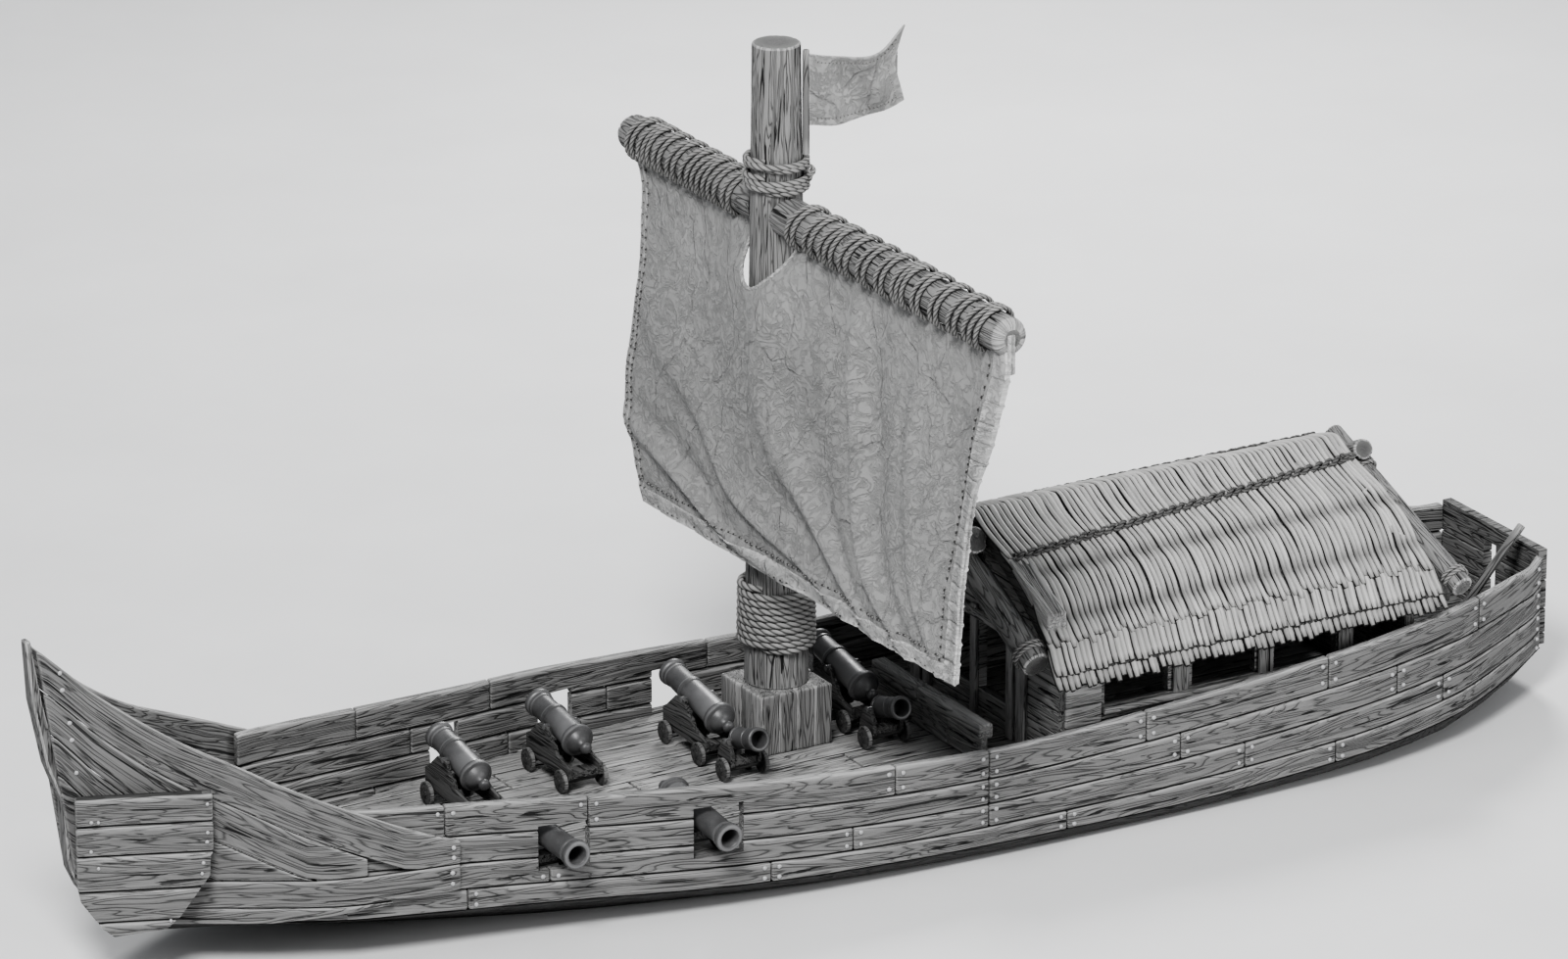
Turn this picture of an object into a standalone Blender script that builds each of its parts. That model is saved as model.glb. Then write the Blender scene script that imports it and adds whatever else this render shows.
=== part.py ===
"""Flat-bottomed sailing gunboat with a thatched cabin, at full size.

Frame: +X towards the bow, +Y to port, +Z up, in metres. The boat stands on its flat bottom,
and the origin is on the centreline of the hull, at the bottom's height, amidships.
"""
import math

import bmesh
import bpy
from mathutils import Matrix, Vector

# Driving dimensions, in metres
NAME = "sailing_gunboat"
GAP = 0.0003                # between pieces that rest on each other
CUT_PAST = 0.3              # a cutter reaches this far past each face
DECK_Z = 0.50               # top of the deck above the flat bottom
DECK_THICK = 0.06
SIDE_THICK = 0.09           # side planking
BOTTOM_THICK = 0.09
BILGE_ROUND = 1.25          # power of the bilge's curve amidships; 1 is round
BILGE_STRAIGHT = 2.0        # 2 is a straight line, from the guns to the bow
BILGE_STERN = 1.6
LAP_GAP = 0.0006            # between the sides and the bow planks that lap over them
TRANSOM_X = -7.63           # outer face of the transom
TRANSOM_THICK = 0.10
BOW_LAP_X = 4.15            # no bow plank reaches further aft over the sides

MAST_X = -0.10
MAST_Y = -0.63              # the mast is stepped to starboard of the centreline
MAST_FOOT_R = 0.30
MAST_TOP_R = 0.222
MAST_TOP_Z = 7.15
STEP_SIDE = 0.75
STEP_HEIGHT = 0.58
ROUND_STEPS = 20            # sides of the mast and of the rope round it

YARD_Z = 5.58
YARD_R = 0.20               # where it meets the mast
YARD_SPAR_R = 0.185
YARD_LOOP_R = 0.245         # over the loops of rope
YARD_SIDES = 12
YARD_FLAT = math.cos(math.pi / YARD_SIDES)   # share of a radius from its axis to a flat
YARD_HALF = 3.37            # from the centre of the yard to its end
YARD_CENTRE_Y = 0.05
YARD_CLEAR = 0.012          # round the mast, so that the yard can swing
PARREL_ROPE_R = 0.033
COIL_Z = 1.42               # lower edge of the winding near the mast's foot
FLAG_LASHING_Z = 5.99
FLAGSTAFF_R = 0.035
FLAGSTAFF_TOP_Z = 7.10
FLAG_OUTLINE = [(0.0, 7.06), (0.3, 7.03), (0.62, 7.08), (0.84, 7.33), (0.75, 6.95), (0.85, 6.63),
                (0.62, 6.52), (0.3, 6.42), (0.0, 6.40)]      # distance from the staff and Z
FLAG_THICK = 0.024

SAIL_THICK = 0.03
SAIL_TOP = YARD_Z - YARD_LOOP_R * YARD_FLAT - GAP
SAIL_FOOT = (2.34, 2.40)    # height of its starboard and its port lower corner
SAIL_BELLY = 0.345          # ahead of the mast's axis where it clears the mast
MOUTH_HALF = 0.40           # half the width of the gap that the sail leaves for the mast
MOUTH_DEEP = 0.42
# Edges of the sail: share of its height, distance ahead of the mast's axis, Y
SAIL_STARBOARD = [(0.0, 0.40, -2.36), (0.27, 0.40, -2.69), (0.40, 0.40, -2.67),
                  (0.60, 0.37, -2.56), (0.78, 0.30, -2.54), (0.90, 0.17, -2.80), (1.0, 0.02, -3.12)]
SAIL_PORT = [(0.0, 0.40, 3.18), (0.22, 0.35, 3.12), (0.38, 0.30, 3.15), (0.55, 0.25, 3.23),
             (0.72, 0.22, 3.40), (0.90, 0.12, 3.46), (1.0, 0.02, 3.42)]

# Hull stations: X, half breadth, gunwale height, height where the side ends,
# half breadth of the flat bottom, height of the bottom
STATIONS = [
    (-7.63, 0.800, 1.39, 0.45, 0.45, 0.30),
    (-7.37, 0.98, 1.31, 0.41, 0.59, 0.20),
    (-7.10, 1.12, 1.32, 0.37, 0.72, 0.11),
    (-6.60, 1.385, 1.35, 0.33, 0.91, 0.03),
    (-6.10, 1.60, 1.36, 0.29, 1.09, 0.0),
    (-5.10, 1.81, 1.32, 0.23, 1.38, 0.0),
    (-4.10, 1.84, 1.23, 0.17, 1.56, 0.0),
    (-3.10, 1.85, 1.16, 0.14, 1.65, 0.0),
    (-2.10, 1.85, 1.10, 0.14, 1.66, 0.0),
    (-1.10, 1.84, 1.07, 0.15, 1.62, 0.0),
    (-0.10, 1.82, 1.10, 0.17, 1.55, 0.0),
    (0.90, 1.76, 1.16, 0.20, 1.42, 0.0),
    (1.90, 1.65, 1.23, 0.25, 1.20, 0.0),
    (2.90, 1.48, 1.29, 0.31, 0.93, 0.0),
    (3.90, 1.31, 1.37, 0.37, 0.58, 0.01),
    (4.60, 1.20, 1.42, 0.41, 0.38, 0.05),
    (5.20, 1.08, 1.46, 0.439, 0.24, 0.11),
    (5.80, 0.76, 1.50, 0.439, 0.15, 0.19),
    (6.40, 0.42, 1.54, 0.439, 0.085, 0.26),
    (6.80, 0.19, 1.60, 0.439, 0.06, 0.30),
]
SIDE_END_X = 5.20           # forward end of the side planks
SHELL_END_X = 6.80          # forward end of the bottom, behind the stem
WING_THICK = 0.054

# Upper edge of the bow planks: X, half breadth, height
WING_EDGE = [(4.15, 1.25, 1.07), (4.52, 1.213, 1.20), (5.11, 1.11, 1.47), (5.60, 0.96, 1.71),
             (6.10, 0.68, 1.98), (6.40, 0.525, 2.14), (6.70, 0.37, 2.33), (7.06, 0.19, 2.60),
             (7.31, 0.11, 2.82), (7.47, 0.082, 3.00), (7.63, 0.0753, 3.12)]
# Stem: X and Z of its face, half width, depth fore and aft
STEM = [(6.93, 0.33, 0.06, 0.1297), (7.13, 0.645, 0.075, 0.15), (7.26, 0.81, 0.075, 0.15),
        (7.345, 1.0, 0.075, 0.14), (7.365, 1.14, 0.075, 0.13), (7.39, 1.63, 0.075, 0.11),
        (7.53, 2.01, 0.075, 0.11), (7.65, 2.62, 0.075, 0.09), (7.69, 3.18, 0.05, 0.05)]
WING_TOP_X = 7.63           # forward end of the bow planks at the top
WING_END_X = 7.325          # and at their foot

# Cabin
CABIN_FRONT_X = -1.95
CABIN_REAR_X = -5.75
CABIN_HALF = 1.36
CABIN_WALL = 0.09
CABIN_WINDOWS = [(-2.72, 0.34), (-3.66, 0.34), (-4.55, 0.34), (-5.35, 0.28)]   # X and half width
WINDOW_LOW = 1.05
WINDOW_TOP = 1.36
# Openings of the end walls: starboard and port edge, lower and upper edge
FRONT_OPENINGS = [(-0.12, 0.42, 0.80, 1.50), (-0.92, -0.22, 0.80, 1.50)]
REAR_OPENINGS = [(-0.32, 0.32, 0.70, 1.60)]
RIDGE_Z = 2.56
EAVE_Z = 1.56
EAVE_HALF = 1.66
THATCH_THICK = 0.11
ROOF_FRONT_X = -1.78
ROOF_REAR_X = -5.95
REAR_LEAN = 0.18            # the rear gable leans forward this far per metre of height
RAFTER_SIDES = 10
# Logs of each gable: radius, Y and Z of the axis at the foot, Z on the centreline, length past it
FRONT_RAFTERS = (0.14, 1.38, 1.585, 2.29, 0.30)
REAR_RAFTERS = (0.11, 1.70, 1.60, 2.41, 0.27)

# Guns: X, Y of the front axle, elevation in degrees, +1 port or -1 starboard,
# reach of the barrel ahead of the trunnions and behind them
LONG_GUNS = [
    ("starboard_1", 3.21, -0.80, 12.0, -1, 0.42, 0.52),
    ("starboard_2", 2.04, -1.06, 9.0, -1, 0.45, 0.52),
    ("starboard_3", 0.645, -1.02, 10.0, -1, 0.50, 0.62),
    ("starboard_4", -0.89, -1.04, 11.0, -1, 0.47, 0.60),
    ("port_1", 3.27, 1.13, 0.0, 1, 0.86, 0.36),
    ("port_2", 1.86, 1.34, -4.0, 1, 0.86, 0.36),
]
SHORT_GUNS = [("port_3", 0.64, 0.04), ("port_4", -0.86, 0.02)]
SHORT_R = 0.112
SHORT_TRUNNION_Z = 0.36
SHORT_TRUNNION_BACK = 0.045
SHORT_ELEVATION = 17.0
SHORT_PIN_R = 0.025
SEAT_GAP = 0.0008           # round a trunnion in its seat
TRUCK_R = 0.11
TRUCK_WIDE = 0.06
TRUCK_TRACK = 0.42
WHEELBASE = 0.62
AXLE_R = 0.03
CHEEK_INNER = 0.139
CHEEK_THICK = 0.036
CARRIAGE_PAST = 0.09           # a cheek reaches this far past each axle
FRONT_BEAM_TOP = 0.21          # low enough for a depressed barrel
REAR_BEAM_TOP = 0.20
BED_CHEEK_THICK = 0.04
BED_CHEEK_CLEAR = 0.008        # between a short barrel and each cheek
TRUNNION_Z = {1: 0.40, -1: 0.50}   # above the deck, on the port and the starboard guns
TRUNNION_R = 0.03
TRUNNION_BACK = 0.24        # from the front axle towards the rear

# Gun ports in each side: X of the middle, width, lower and upper edge
PORT_GUN_PORTS = [(3.225, 0.47, 0.65, 1.08), (1.805, 0.47, 0.56, 1.04)]
STARBOARD_GUN_PORTS = [(2.93, 0.32, 0.56, 0.97), (1.68, 0.38, 0.52, 0.97),
                       (0.42, 0.38, 0.52, 0.93), (-0.93, 0.42, 0.51, 0.90)]

# Bow board and steering pole
BOW_CHEEK_FRONT = (7.40, 0.1818)  # X and Y of the inner face at its forward end
BOW_CHEEK_ANGLE = 22.0
BOW_CHEEK_THICK = 0.12
BOW_CHEEK_OUTLINE = [(0.05, 1.75), (1.24, 1.75), (1.24, 1.21), (1.21, 1.18), (1.20, 0.99),
                     (0.93, 0.61), (0.87, 0.56), (0.82, 0.51), (0.36, 0.46), (0.26, 0.54),
                     (0.08, 0.80), (0.05, 0.95)]     # distance aft and Z
POLE_FOOT = (-6.66, 0.60, 0.70)
POLE_HEAD = (-7.47, 0.60, 1.593)
POLE_R = 0.045
PIN_R = 0.02

WOOD = (0.150, 0.149, 0.147)
DARK_WOOD = (0.080, 0.080, 0.079)
ROPE = (0.170, 0.168, 0.165)
CLOTH = (0.235, 0.234, 0.232)
STRAW = (0.290, 0.288, 0.283)
IRON = (0.060, 0.060, 0.061)


def clear_scene():
    """Remove every object that the file opened with."""
    for obj in list(bpy.data.objects):
        bpy.data.objects.remove(obj, do_unlink=True)


def collection(name):
    """Return a new collection in the scene."""
    made = bpy.data.collections.new(name)
    bpy.context.scene.collection.children.link(made)
    return made


def material(name, colour, roughness, metallic=0.0):
    """Return a Principled material of one colour."""
    mat = bpy.data.materials.new(name)
    mat.use_nodes = True
    shader = mat.node_tree.nodes["Principled BSDF"]
    shader.inputs["Base Color"].default_value = (*colour, 1.0)
    shader.inputs["Roughness"].default_value = roughness
    shader.inputs["Metallic"].default_value = metallic
    return mat


def add_mesh(name, mesh, mat, smooth=False):
    """Put a mesh into the model as an object with its material."""
    obj = bpy.data.objects.new(name, mesh)
    PARTS.objects.link(obj)
    mesh.materials.clear()
    mesh.materials.append(mat)
    if smooth:
        mesh.shade_smooth()
        mesh.set_sharp_from_angle(angle=math.radians(35))
    return obj


def add_bmesh(name, bm, mat, smooth=False):
    """Turn a bmesh into an object, with its normals facing out."""
    bmesh.ops.recalc_face_normals(bm, faces=bm.faces)
    mesh = bpy.data.meshes.new(name)
    bm.to_mesh(mesh)
    bm.free()
    return add_mesh(name, mesh, mat, smooth)


def box_into(bm, low, high):
    """Add a box between two corners."""
    size = [high[i] - low[i] for i in range(3)]
    middle = Vector([(high[i] + low[i]) / 2 for i in range(3)])
    place = Matrix.Translation(middle) @ Matrix.Diagonal((*size, 1.0))
    bmesh.ops.create_cube(bm, size=1.0, matrix=place)


def box(name, low, high, mat, bevel=0.0):
    """A box between two corners, with rounded edges where asked."""
    bm = bmesh.new()
    box_into(bm, low, high)
    obj = add_bmesh(name, bm, mat)
    if bevel:
        add_bevel(obj, bevel)
    return obj


def add_bevel(obj, width, segments=1):
    """Round the sharp edges of an object."""
    mod = obj.modifiers.new("Bevel", "BEVEL")
    mod.width = width
    mod.segments = segments
    mod.limit_method = "ANGLE"
    return mod


def rod_into(bm, start, end, radius, sides=12):
    """Add a straight round bar between two points."""
    start = Vector(start)
    end = Vector(end)
    along = end - start
    turn = along.to_track_quat("Z", "Y").to_matrix().to_4x4()
    place = Matrix.Translation((start + end) / 2) @ turn
    bmesh.ops.create_cone(bm, cap_ends=True, segments=sides, radius1=radius, radius2=radius,
                          depth=along.length, matrix=place)


def rod(name, start, end, radius, mat, sides=12):
    """A round bar between two points as an object."""
    bm = bmesh.new()
    rod_into(bm, start, end, radius, sides)
    return add_bmesh(name, bm, mat, smooth=True)


def turned(name, profile, mat, steps=16, axis="Z", place=None):
    """A turned solid: a profile of (radius, along) pairs from the far end to the near one.

    The profile runs down the outer side at +X, from top to bottom, and Screw turns it.
    """
    mesh = bpy.data.meshes.new(name)
    points = [(radius, 0.0, along) for radius, along in profile]
    edges = [(i, i + 1) for i in range(len(points) - 1)]
    mesh.from_pydata(points, edges, [])
    obj = bpy.data.objects.new(name, mesh)
    PARTS.objects.link(obj)
    mod = obj.modifiers.new("Screw", "SCREW")
    mod.steps = steps
    mod.render_steps = steps
    mod.use_merge_vertices = True
    mod.merge_threshold = 0.00005
    mod.use_smooth_shade = True
    solid = fixed_mesh(obj)
    bpy.data.objects.remove(obj, do_unlink=True)
    if axis == "X":
        solid.transform(Matrix.Rotation(math.pi / 2, 4, "Y"))
    elif axis == "Y":
        solid.transform(Matrix.Rotation(-math.pi / 2, 4, "X"))
    out = add_mesh(name, solid, mat, smooth=True)
    if place is not None:
        out.matrix_world = place
    return out


def fixed_mesh(obj):
    """The evaluated mesh of an object, as a mesh of its own with welded seams."""
    graph = bpy.context.evaluated_depsgraph_get()
    graph.update()
    mesh = bpy.data.meshes.new_from_object(obj.evaluated_get(graph))
    bm = bmesh.new()
    bm.from_mesh(mesh)
    bmesh.ops.remove_doubles(bm, verts=bm.verts, dist=0.00002)
    bmesh.ops.recalc_face_normals(bm, faces=bm.faces)
    bm.to_mesh(mesh)
    bm.free()
    return mesh


def join_solids(name, bms, mat, smooth=False):
    """Unite several bmesh solids into one closed body with Boolean unions."""
    base = add_bmesh(name, bms[0], mat, smooth)
    for bm in bms[1:]:
        unite(base, add_bmesh(name + "_tool", bm, mat))
    return base


def unite(obj, tool):
    """Join a tool to an object, keep the result as the object's mesh and drop the tool."""
    mod = add_boolean(obj, tool, "UNION")
    mesh = fixed_mesh(obj)
    obj.modifiers.remove(mod)
    obj.data = mesh
    bpy.data.objects.remove(tool, do_unlink=True)


def cut(obj, tool):
    """Cut an object with a tool, which stays in the collection of cutters."""
    add_boolean(obj, tool, "DIFFERENCE")
    PARTS.objects.unlink(tool)
    CUTTERS.objects.link(tool)
    tool.hide_render = True
    tool.display_type = "WIRE"


def add_boolean(obj, tool, operation):
    """Add a Boolean modifier with the exact solver."""
    mod = obj.modifiers.new("Boolean", "BOOLEAN")
    mod.operation = operation
    mod.solver = "EXACT"
    mod.object = tool
    return mod


def set_origin(obj, point):
    """Move an object's origin to a point without moving its shape."""
    obj.data.transform(Matrix.Translation(-Vector(point)))
    obj.location = point


def outline_into(bm, points, low, high, axis="Z"):
    """Add a prism: a flat outline given as pairs, between two values along an axis."""
    order = {"X": (2, 0, 1), "Y": (0, 2, 1), "Z": (0, 1, 2)}[axis]

    def corner(pair, level):
        values = (pair[0], pair[1], level)
        return Vector([values[i] for i in order])

    lower = [bm.verts.new(corner(p, low)) for p in points]
    upper = [bm.verts.new(corner(p, high)) for p in points]
    bm.faces.new(lower)
    bm.faces.new(list(reversed(upper)))
    count = len(points)
    for i in range(count):
        j = (i + 1) % count
        bm.faces.new((lower[j], lower[i], upper[i], upper[j]))


def prism(name, points, low, high, mat, axis="Z"):
    """A prism as an object."""
    bm = bmesh.new()
    outline_into(bm, points, low, high, axis)
    return add_bmesh(name, bm, mat)


def loft(name, sections, mat, smooth=False):
    """A closed loft through rings of points with equal counts, capped at both ends."""
    bm = bmesh.new()
    rings = [[bm.verts.new(p) for p in ring] for ring in sections]
    count = len(rings[0])
    for a, b in zip(rings, rings[1:]):
        for i in range(count):
            j = (i + 1) % count
            bm.faces.new((a[i], a[j], b[j], b[i]))
    bm.faces.new(rings[0])
    bm.faces.new(rings[-1])
    bmesh.ops.triangulate(bm, faces=[f for f in bm.faces if len(f.verts) > 3])
    return add_bmesh(name, bm, mat, smooth)


def between(table, x, column):
    """Read a smooth value from a table of rows, by X, with a cubic through the rows."""
    rows = sorted(table)
    if x <= rows[0][0]:
        return rows[0][column]
    if x >= rows[-1][0]:
        return rows[-1][column]
    i = max(k for k in range(len(rows)) if rows[k][0] <= x)
    i = min(i, len(rows) - 2)
    here, there = rows[i], rows[i + 1]
    span = there[0] - here[0]
    t = (x - here[0]) / span

    def slope(k):
        low, high = rows[max(k - 1, 0)], rows[min(k + 1, len(rows) - 1)]
        return (high[column] - low[column]) / (high[0] - low[0])

    m0, m1 = slope(i) * span, slope(i + 1) * span
    p0, p1 = here[column], there[column]
    a = 2 * t ** 3 - 3 * t ** 2 + 1
    b = t ** 3 - 2 * t ** 2 + t
    c = -2 * t ** 3 + 3 * t ** 2
    d = t ** 3 - t ** 2
    return a * p0 + b * m0 + c * p1 + d * m1


def half_breadth(x):
    """Half breadth of the hull's outer face, from the centreline."""
    return between(STATIONS, x, 1)


def gunwale_z(x):
    """Height of the gunwale."""
    return between(STATIONS, x, 2)


def side_foot_z(x):
    """Height where the side planks end and the bilge begins."""
    return min(between(STATIONS, x, 3), DECK_Z - DECK_THICK - 2 * GAP)


def bottom_half(x):
    """Half breadth of the flat of the bottom."""
    return between(STATIONS, x, 4)


def bottom_z(x):
    """Height of the bottom."""
    return max(between(STATIONS, x, 5), 0.0)


def wing_edge(x, column):
    """Half breadth (1) or height (2) of the upper edge of the bow planks."""
    return between(WING_EDGE, x, column)


def steps_between(low, high, count):
    """Evenly spaced values from low to high."""
    return [low + (high - low) * i / count for i in range(count + 1)]


def side_stations():
    """Where the side planks, the bottom and the deck have their sections."""
    return steps_between(TRANSOM_X + TRANSOM_THICK + GAP, SIDE_END_X, 26)


def bow_stations():
    """Where the bottom and the deck have their sections ahead of the side planks."""
    return steps_between(SIDE_END_X, SHELL_END_X, 6)[1:]


def breadth_of_thickness(x, thickness):
    """The thickness measured across the boat where the planks run at an angle."""
    d = 0.01
    slope = (half_breadth(x + d) - half_breadth(x - d)) / (2 * d)
    return thickness * math.hypot(slope, 1.0)


def make_side(name, sign, mat):
    """One side of the hull: planks from the transom to the bow, with its thickness."""
    sections = []
    for x in side_stations():
        out_y = sign * half_breadth(x)
        in_y = sign * (half_breadth(x) - breadth_of_thickness(x, SIDE_THICK))
        top = gunwale_z(x)
        foot = side_foot_z(x)
        sections.append([(x, out_y, top), (x, out_y, foot), (x, in_y, foot), (x, in_y, top)])
    return loft(name, sections, mat)


def bilge_power(x):
    """How straight the bilge is: round amidships, straighter to the stern and the bow."""
    ahead = min(max((x + 1.0) / 3.5, 0.0), 1.0)
    aft = min(max((-6.0 - x) / 1.6, 0.0), 1.0)
    return BILGE_ROUND + (BILGE_STRAIGHT - BILGE_ROUND) * ahead + (BILGE_STERN - BILGE_ROUND) * aft


def bilge_points(x, inset):
    """Points of half a bottom section, from the side's foot round to the centreline."""
    power = bilge_power(x)
    side = half_breadth(x) - breadth_of_thickness(x, inset)
    side = max(side, 0.03)
    foot = side_foot_z(x) - GAP
    flat = max(min(bottom_half(x), side) - inset * 0.5, 0.02)
    low = bottom_z(x) + inset
    points = []
    for i in range(5):
        angle = math.pi / 2 * i / 4
        along = math.cos(angle) ** power if i < 4 else 0.0
        down = math.sin(angle) ** power
        points.append((flat + (side - flat) * along, foot - (foot - low) * down))
    points.append((0.0, low))
    return points


def make_bottom(mat):
    """The bottom: the flat and both bilges as one shell, open upwards."""
    sections = []
    for x in side_stations() + bow_stations():
        outer = bilge_points(x, 0.0)
        inner = bilge_points(x, BOTTOM_THICK)
        ring = [(x, y, z) for y, z in outer]
        ring += [(x, -y, z) for y, z in reversed(outer[:-1])]
        ring += [(x, -y, z) for y, z in inner]
        ring += [(x, y, z) for y, z in reversed(inner[:-1])]
        sections.append(ring)
    return loft("hull_bottom", sections, mat)


def make_bow_wing(name, sign, mat):
    """The bow planks of one side, from the lap over the side planks to the stem."""
    stations = [x for x in side_stations() if x > BOW_LAP_X] + bow_stations()
    stations += steps_between(SHELL_END_X, WING_END_X, 5)[1:]
    rake = (WING_TOP_X - SHELL_END_X) / (WING_END_X - SHELL_END_X)
    sections = []
    for x in stations:
        over = x if x < SHELL_END_X else SHELL_END_X + (x - SHELL_END_X) * rake
        low, foot = wing_foot(x)
        top, high = wing_edge(over, 2), wing_edge(over, 1)
        if x < SIDE_END_X + GAP:
            high = max(high, low)
        thick = WING_THICK * math.hypot((low - wing_foot(x + 0.02)[0]) / 0.02, 1.0)
        sections.append([(over, sign * (high + thick), top), (x, sign * (low + thick), foot),
                         (x, sign * low, foot), (over, sign * high, top)])
    return loft(name, sections, mat)


def wing_foot(x):
    """Half breadth of the inner face and height of the lower edge of the bow planks."""
    if x < SIDE_END_X + GAP:
        return half_breadth(x) + LAP_GAP, side_foot_z(x) + 0.14 * (SIDE_END_X + 0.6 - x)
    rise = max(0.0, (x - SHELL_END_X) / (WING_END_X - SHELL_END_X))
    inside = half_breadth(min(x, SHELL_END_X)) + LAP_GAP
    inside += (WING_EDGE[-1][1] - inside) * rise
    ease = max(0.0, 1.0 - (x - SIDE_END_X) / 0.6)
    foot = side_foot_z(SIDE_END_X) + GAP + 0.084 * ease + (0.98 - side_foot_z(SIDE_END_X)) * rise
    return inside, foot


def make_stem(mat):
    """The stem post, raked forward, from the forefoot to its head."""
    sections = []
    for x, z, half, deep in STEM:
        sections.append([(x, half, z), (x - deep, half, z), (x - deep, -half, z), (x, -half, z)])
    return loft("stem", sections, mat)


def make_transom(mat):
    """The transom board across the stern, with the steering slot cut in it."""
    half = half_breadth(TRANSOM_X)
    top = gunwale_z(TRANSOM_X)
    low = bottom_z(TRANSOM_X)
    flat = bottom_half(TRANSOM_X)
    outline = [(half, top), (half, side_foot_z(TRANSOM_X)), (flat, low), (-flat, low),
               (-half, side_foot_z(TRANSOM_X)), (-half, top)]
    board = prism("transom", outline, TRANSOM_X, TRANSOM_X + TRANSOM_THICK, mat, axis="X")
    tool = box("transom_slot", (TRANSOM_X - 0.1, -0.10, 0.68), (TRANSOM_X + 0.3, 0.10, 1.21), mat)
    cut(board, tool)
    return board


def make_deck(mat):
    """The deck, between the sides, and over the bilge's rim at the bow."""
    points = [(x, half_breadth(x) - breadth_of_thickness(x, SIDE_THICK) - GAP)
              for x in side_stations()]
    ease = SIDE_THICK * 0.5
    points += [(x, half_breadth(x) - ease) for x in bow_stations()]
    outline = points + [(x, -y) for x, y in reversed(points)]
    return prism("deck", outline, DECK_Z - DECK_THICK, DECK_Z, mat)


def cut_gun_ports(side, sign, mat):
    """Cut the square gun ports in one side."""
    for x, wide, low, top in PORT_GUN_PORTS if sign > 0 else STARBOARD_GUN_PORTS:
        y = sign * half_breadth(x)
        cut(side, box("gun_port", (x - wide / 2, y - CUT_PAST, low),
                      (x + wide / 2, y + CUT_PAST, top), mat))


def make_mast(wood, rope):
    """The step block, the mast and its two fixed rope windings."""
    low = DECK_Z + GAP
    half = STEP_SIDE / 2
    box("mast_step", (MAST_X - half, MAST_Y - half, low),
        (MAST_X + half, MAST_Y + half, DECK_Z + STEP_HEIGHT), wood, bevel=0.03)
    foot = DECK_Z + STEP_HEIGHT + GAP
    profile = [(0.0, MAST_TOP_Z), (MAST_TOP_R, MAST_TOP_Z), (mast_radius(foot), foot),
               (0.0, foot)]
    turned("mast", profile, wood, steps=ROUND_STEPS,
           place=Matrix.Translation((MAST_X, MAST_Y, 0.0)))
    winding("mast_coil", COIL_Z, 9, 0.0365, rope)
    winding("flag_lashing", FLAG_LASHING_Z, 2, PARREL_ROPE_R, rope)


def mast_radius(z):
    """Radius of the tapered mast at a height."""
    foot = DECK_Z + STEP_HEIGHT
    t = (z - foot) / (MAST_TOP_Z - foot)
    return MAST_FOOT_R + (MAST_TOP_R - MAST_FOOT_R) * t


def winding(name, low, turns, rope_r, mat, running=False):
    """Turns of rope round the mast as one turned ring with a scalloped outside.

    A running one turns round the mast, so its flats clear the mast's corners.
    """
    high = low + turns * 2 * rope_r
    half_step = math.pi / ROUND_STEPS
    grow = 1.0 / math.cos(half_step) if running else 1.0
    inner_low = (mast_radius(low) + GAP) * grow
    inner_high = (mast_radius(high) + GAP) * grow
    profile = [(inner_high, high), (inner_high + rope_r, high)]
    for turn in range(turns):
        top = high - turn * 2 * rope_r
        middle = mast_radius(top) * grow + rope_r
        for angle in (35, -35):
            a = math.radians(angle)
            profile.append((middle + rope_r * math.cos(a), top - rope_r + rope_r * math.sin(a)))
    profile += [(inner_low + rope_r, low), (inner_low, low), (inner_high, high)]
    place = Matrix.Translation((MAST_X, MAST_Y, 0.0))
    if running:
        place = place @ Matrix.Rotation(half_step, 4, "Z")
    return turned(name, profile, mat, steps=ROUND_STEPS, place=place)


def make_flag(wood, cloth):
    """The flagstaff against the mast and the swallow-tailed flag."""
    direction = Vector((-0.72, 0.69, 0.0)).normalized()
    staff_low = FLAG_LASHING_Z + 4 * PARREL_ROPE_R + GAP
    away = mast_radius(staff_low) + FLAGSTAFF_R + GAP * 4
    axis = Vector((MAST_X, MAST_Y, 0.0)) + direction * away
    rod("flagstaff", axis + Vector((0, 0, staff_low)), axis + Vector((0, 0, FLAGSTAFF_TOP_Z)),
        FLAGSTAFF_R, wood, sides=12)
    fly = Vector((-0.866, 0.5, 0.0))
    bm = bmesh.new()
    outline_into(bm, FLAG_OUTLINE, -FLAG_THICK / 2, FLAG_THICK / 2, axis="Y")
    flag = add_bmesh("flag", bm, cloth)
    turn = fly.to_track_quat("X", "Z").to_matrix().to_4x4()
    start = axis + fly * (FLAGSTAFF_R + GAP)
    flag.data.transform(Matrix.Translation(start) @ turn)


def make_yard(wood, rope):
    """The two halves of the yard, each hollowed where it meets the mast, and its parrel."""
    for side, sign in (("port", 1), ("starboard", -1)):
        end = YARD_CENTRE_Y + sign * YARD_HALF
        bm = bmesh.new()
        profile_yard(bm, MAST_Y + sign * 0.02, end, sign)
        half = add_bmesh("yard_" + side, bm, wood, smooth=True)
        tool = bmesh.new()
        rod_into(tool, (MAST_X, MAST_Y, YARD_Z - 1), (MAST_X, MAST_Y, YARD_Z + 1),
                 mast_radius(YARD_Z - YARD_R) + YARD_CLEAR, sides=32)
        cut(half, add_bmesh("mast_hollow", tool, wood))
        set_origin(half, (MAST_X, MAST_Y, YARD_Z))
    winding("yard_parrel", YARD_Z + YARD_R * YARD_FLAT + GAP, 3, PARREL_ROPE_R, rope,
            running=True)


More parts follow.
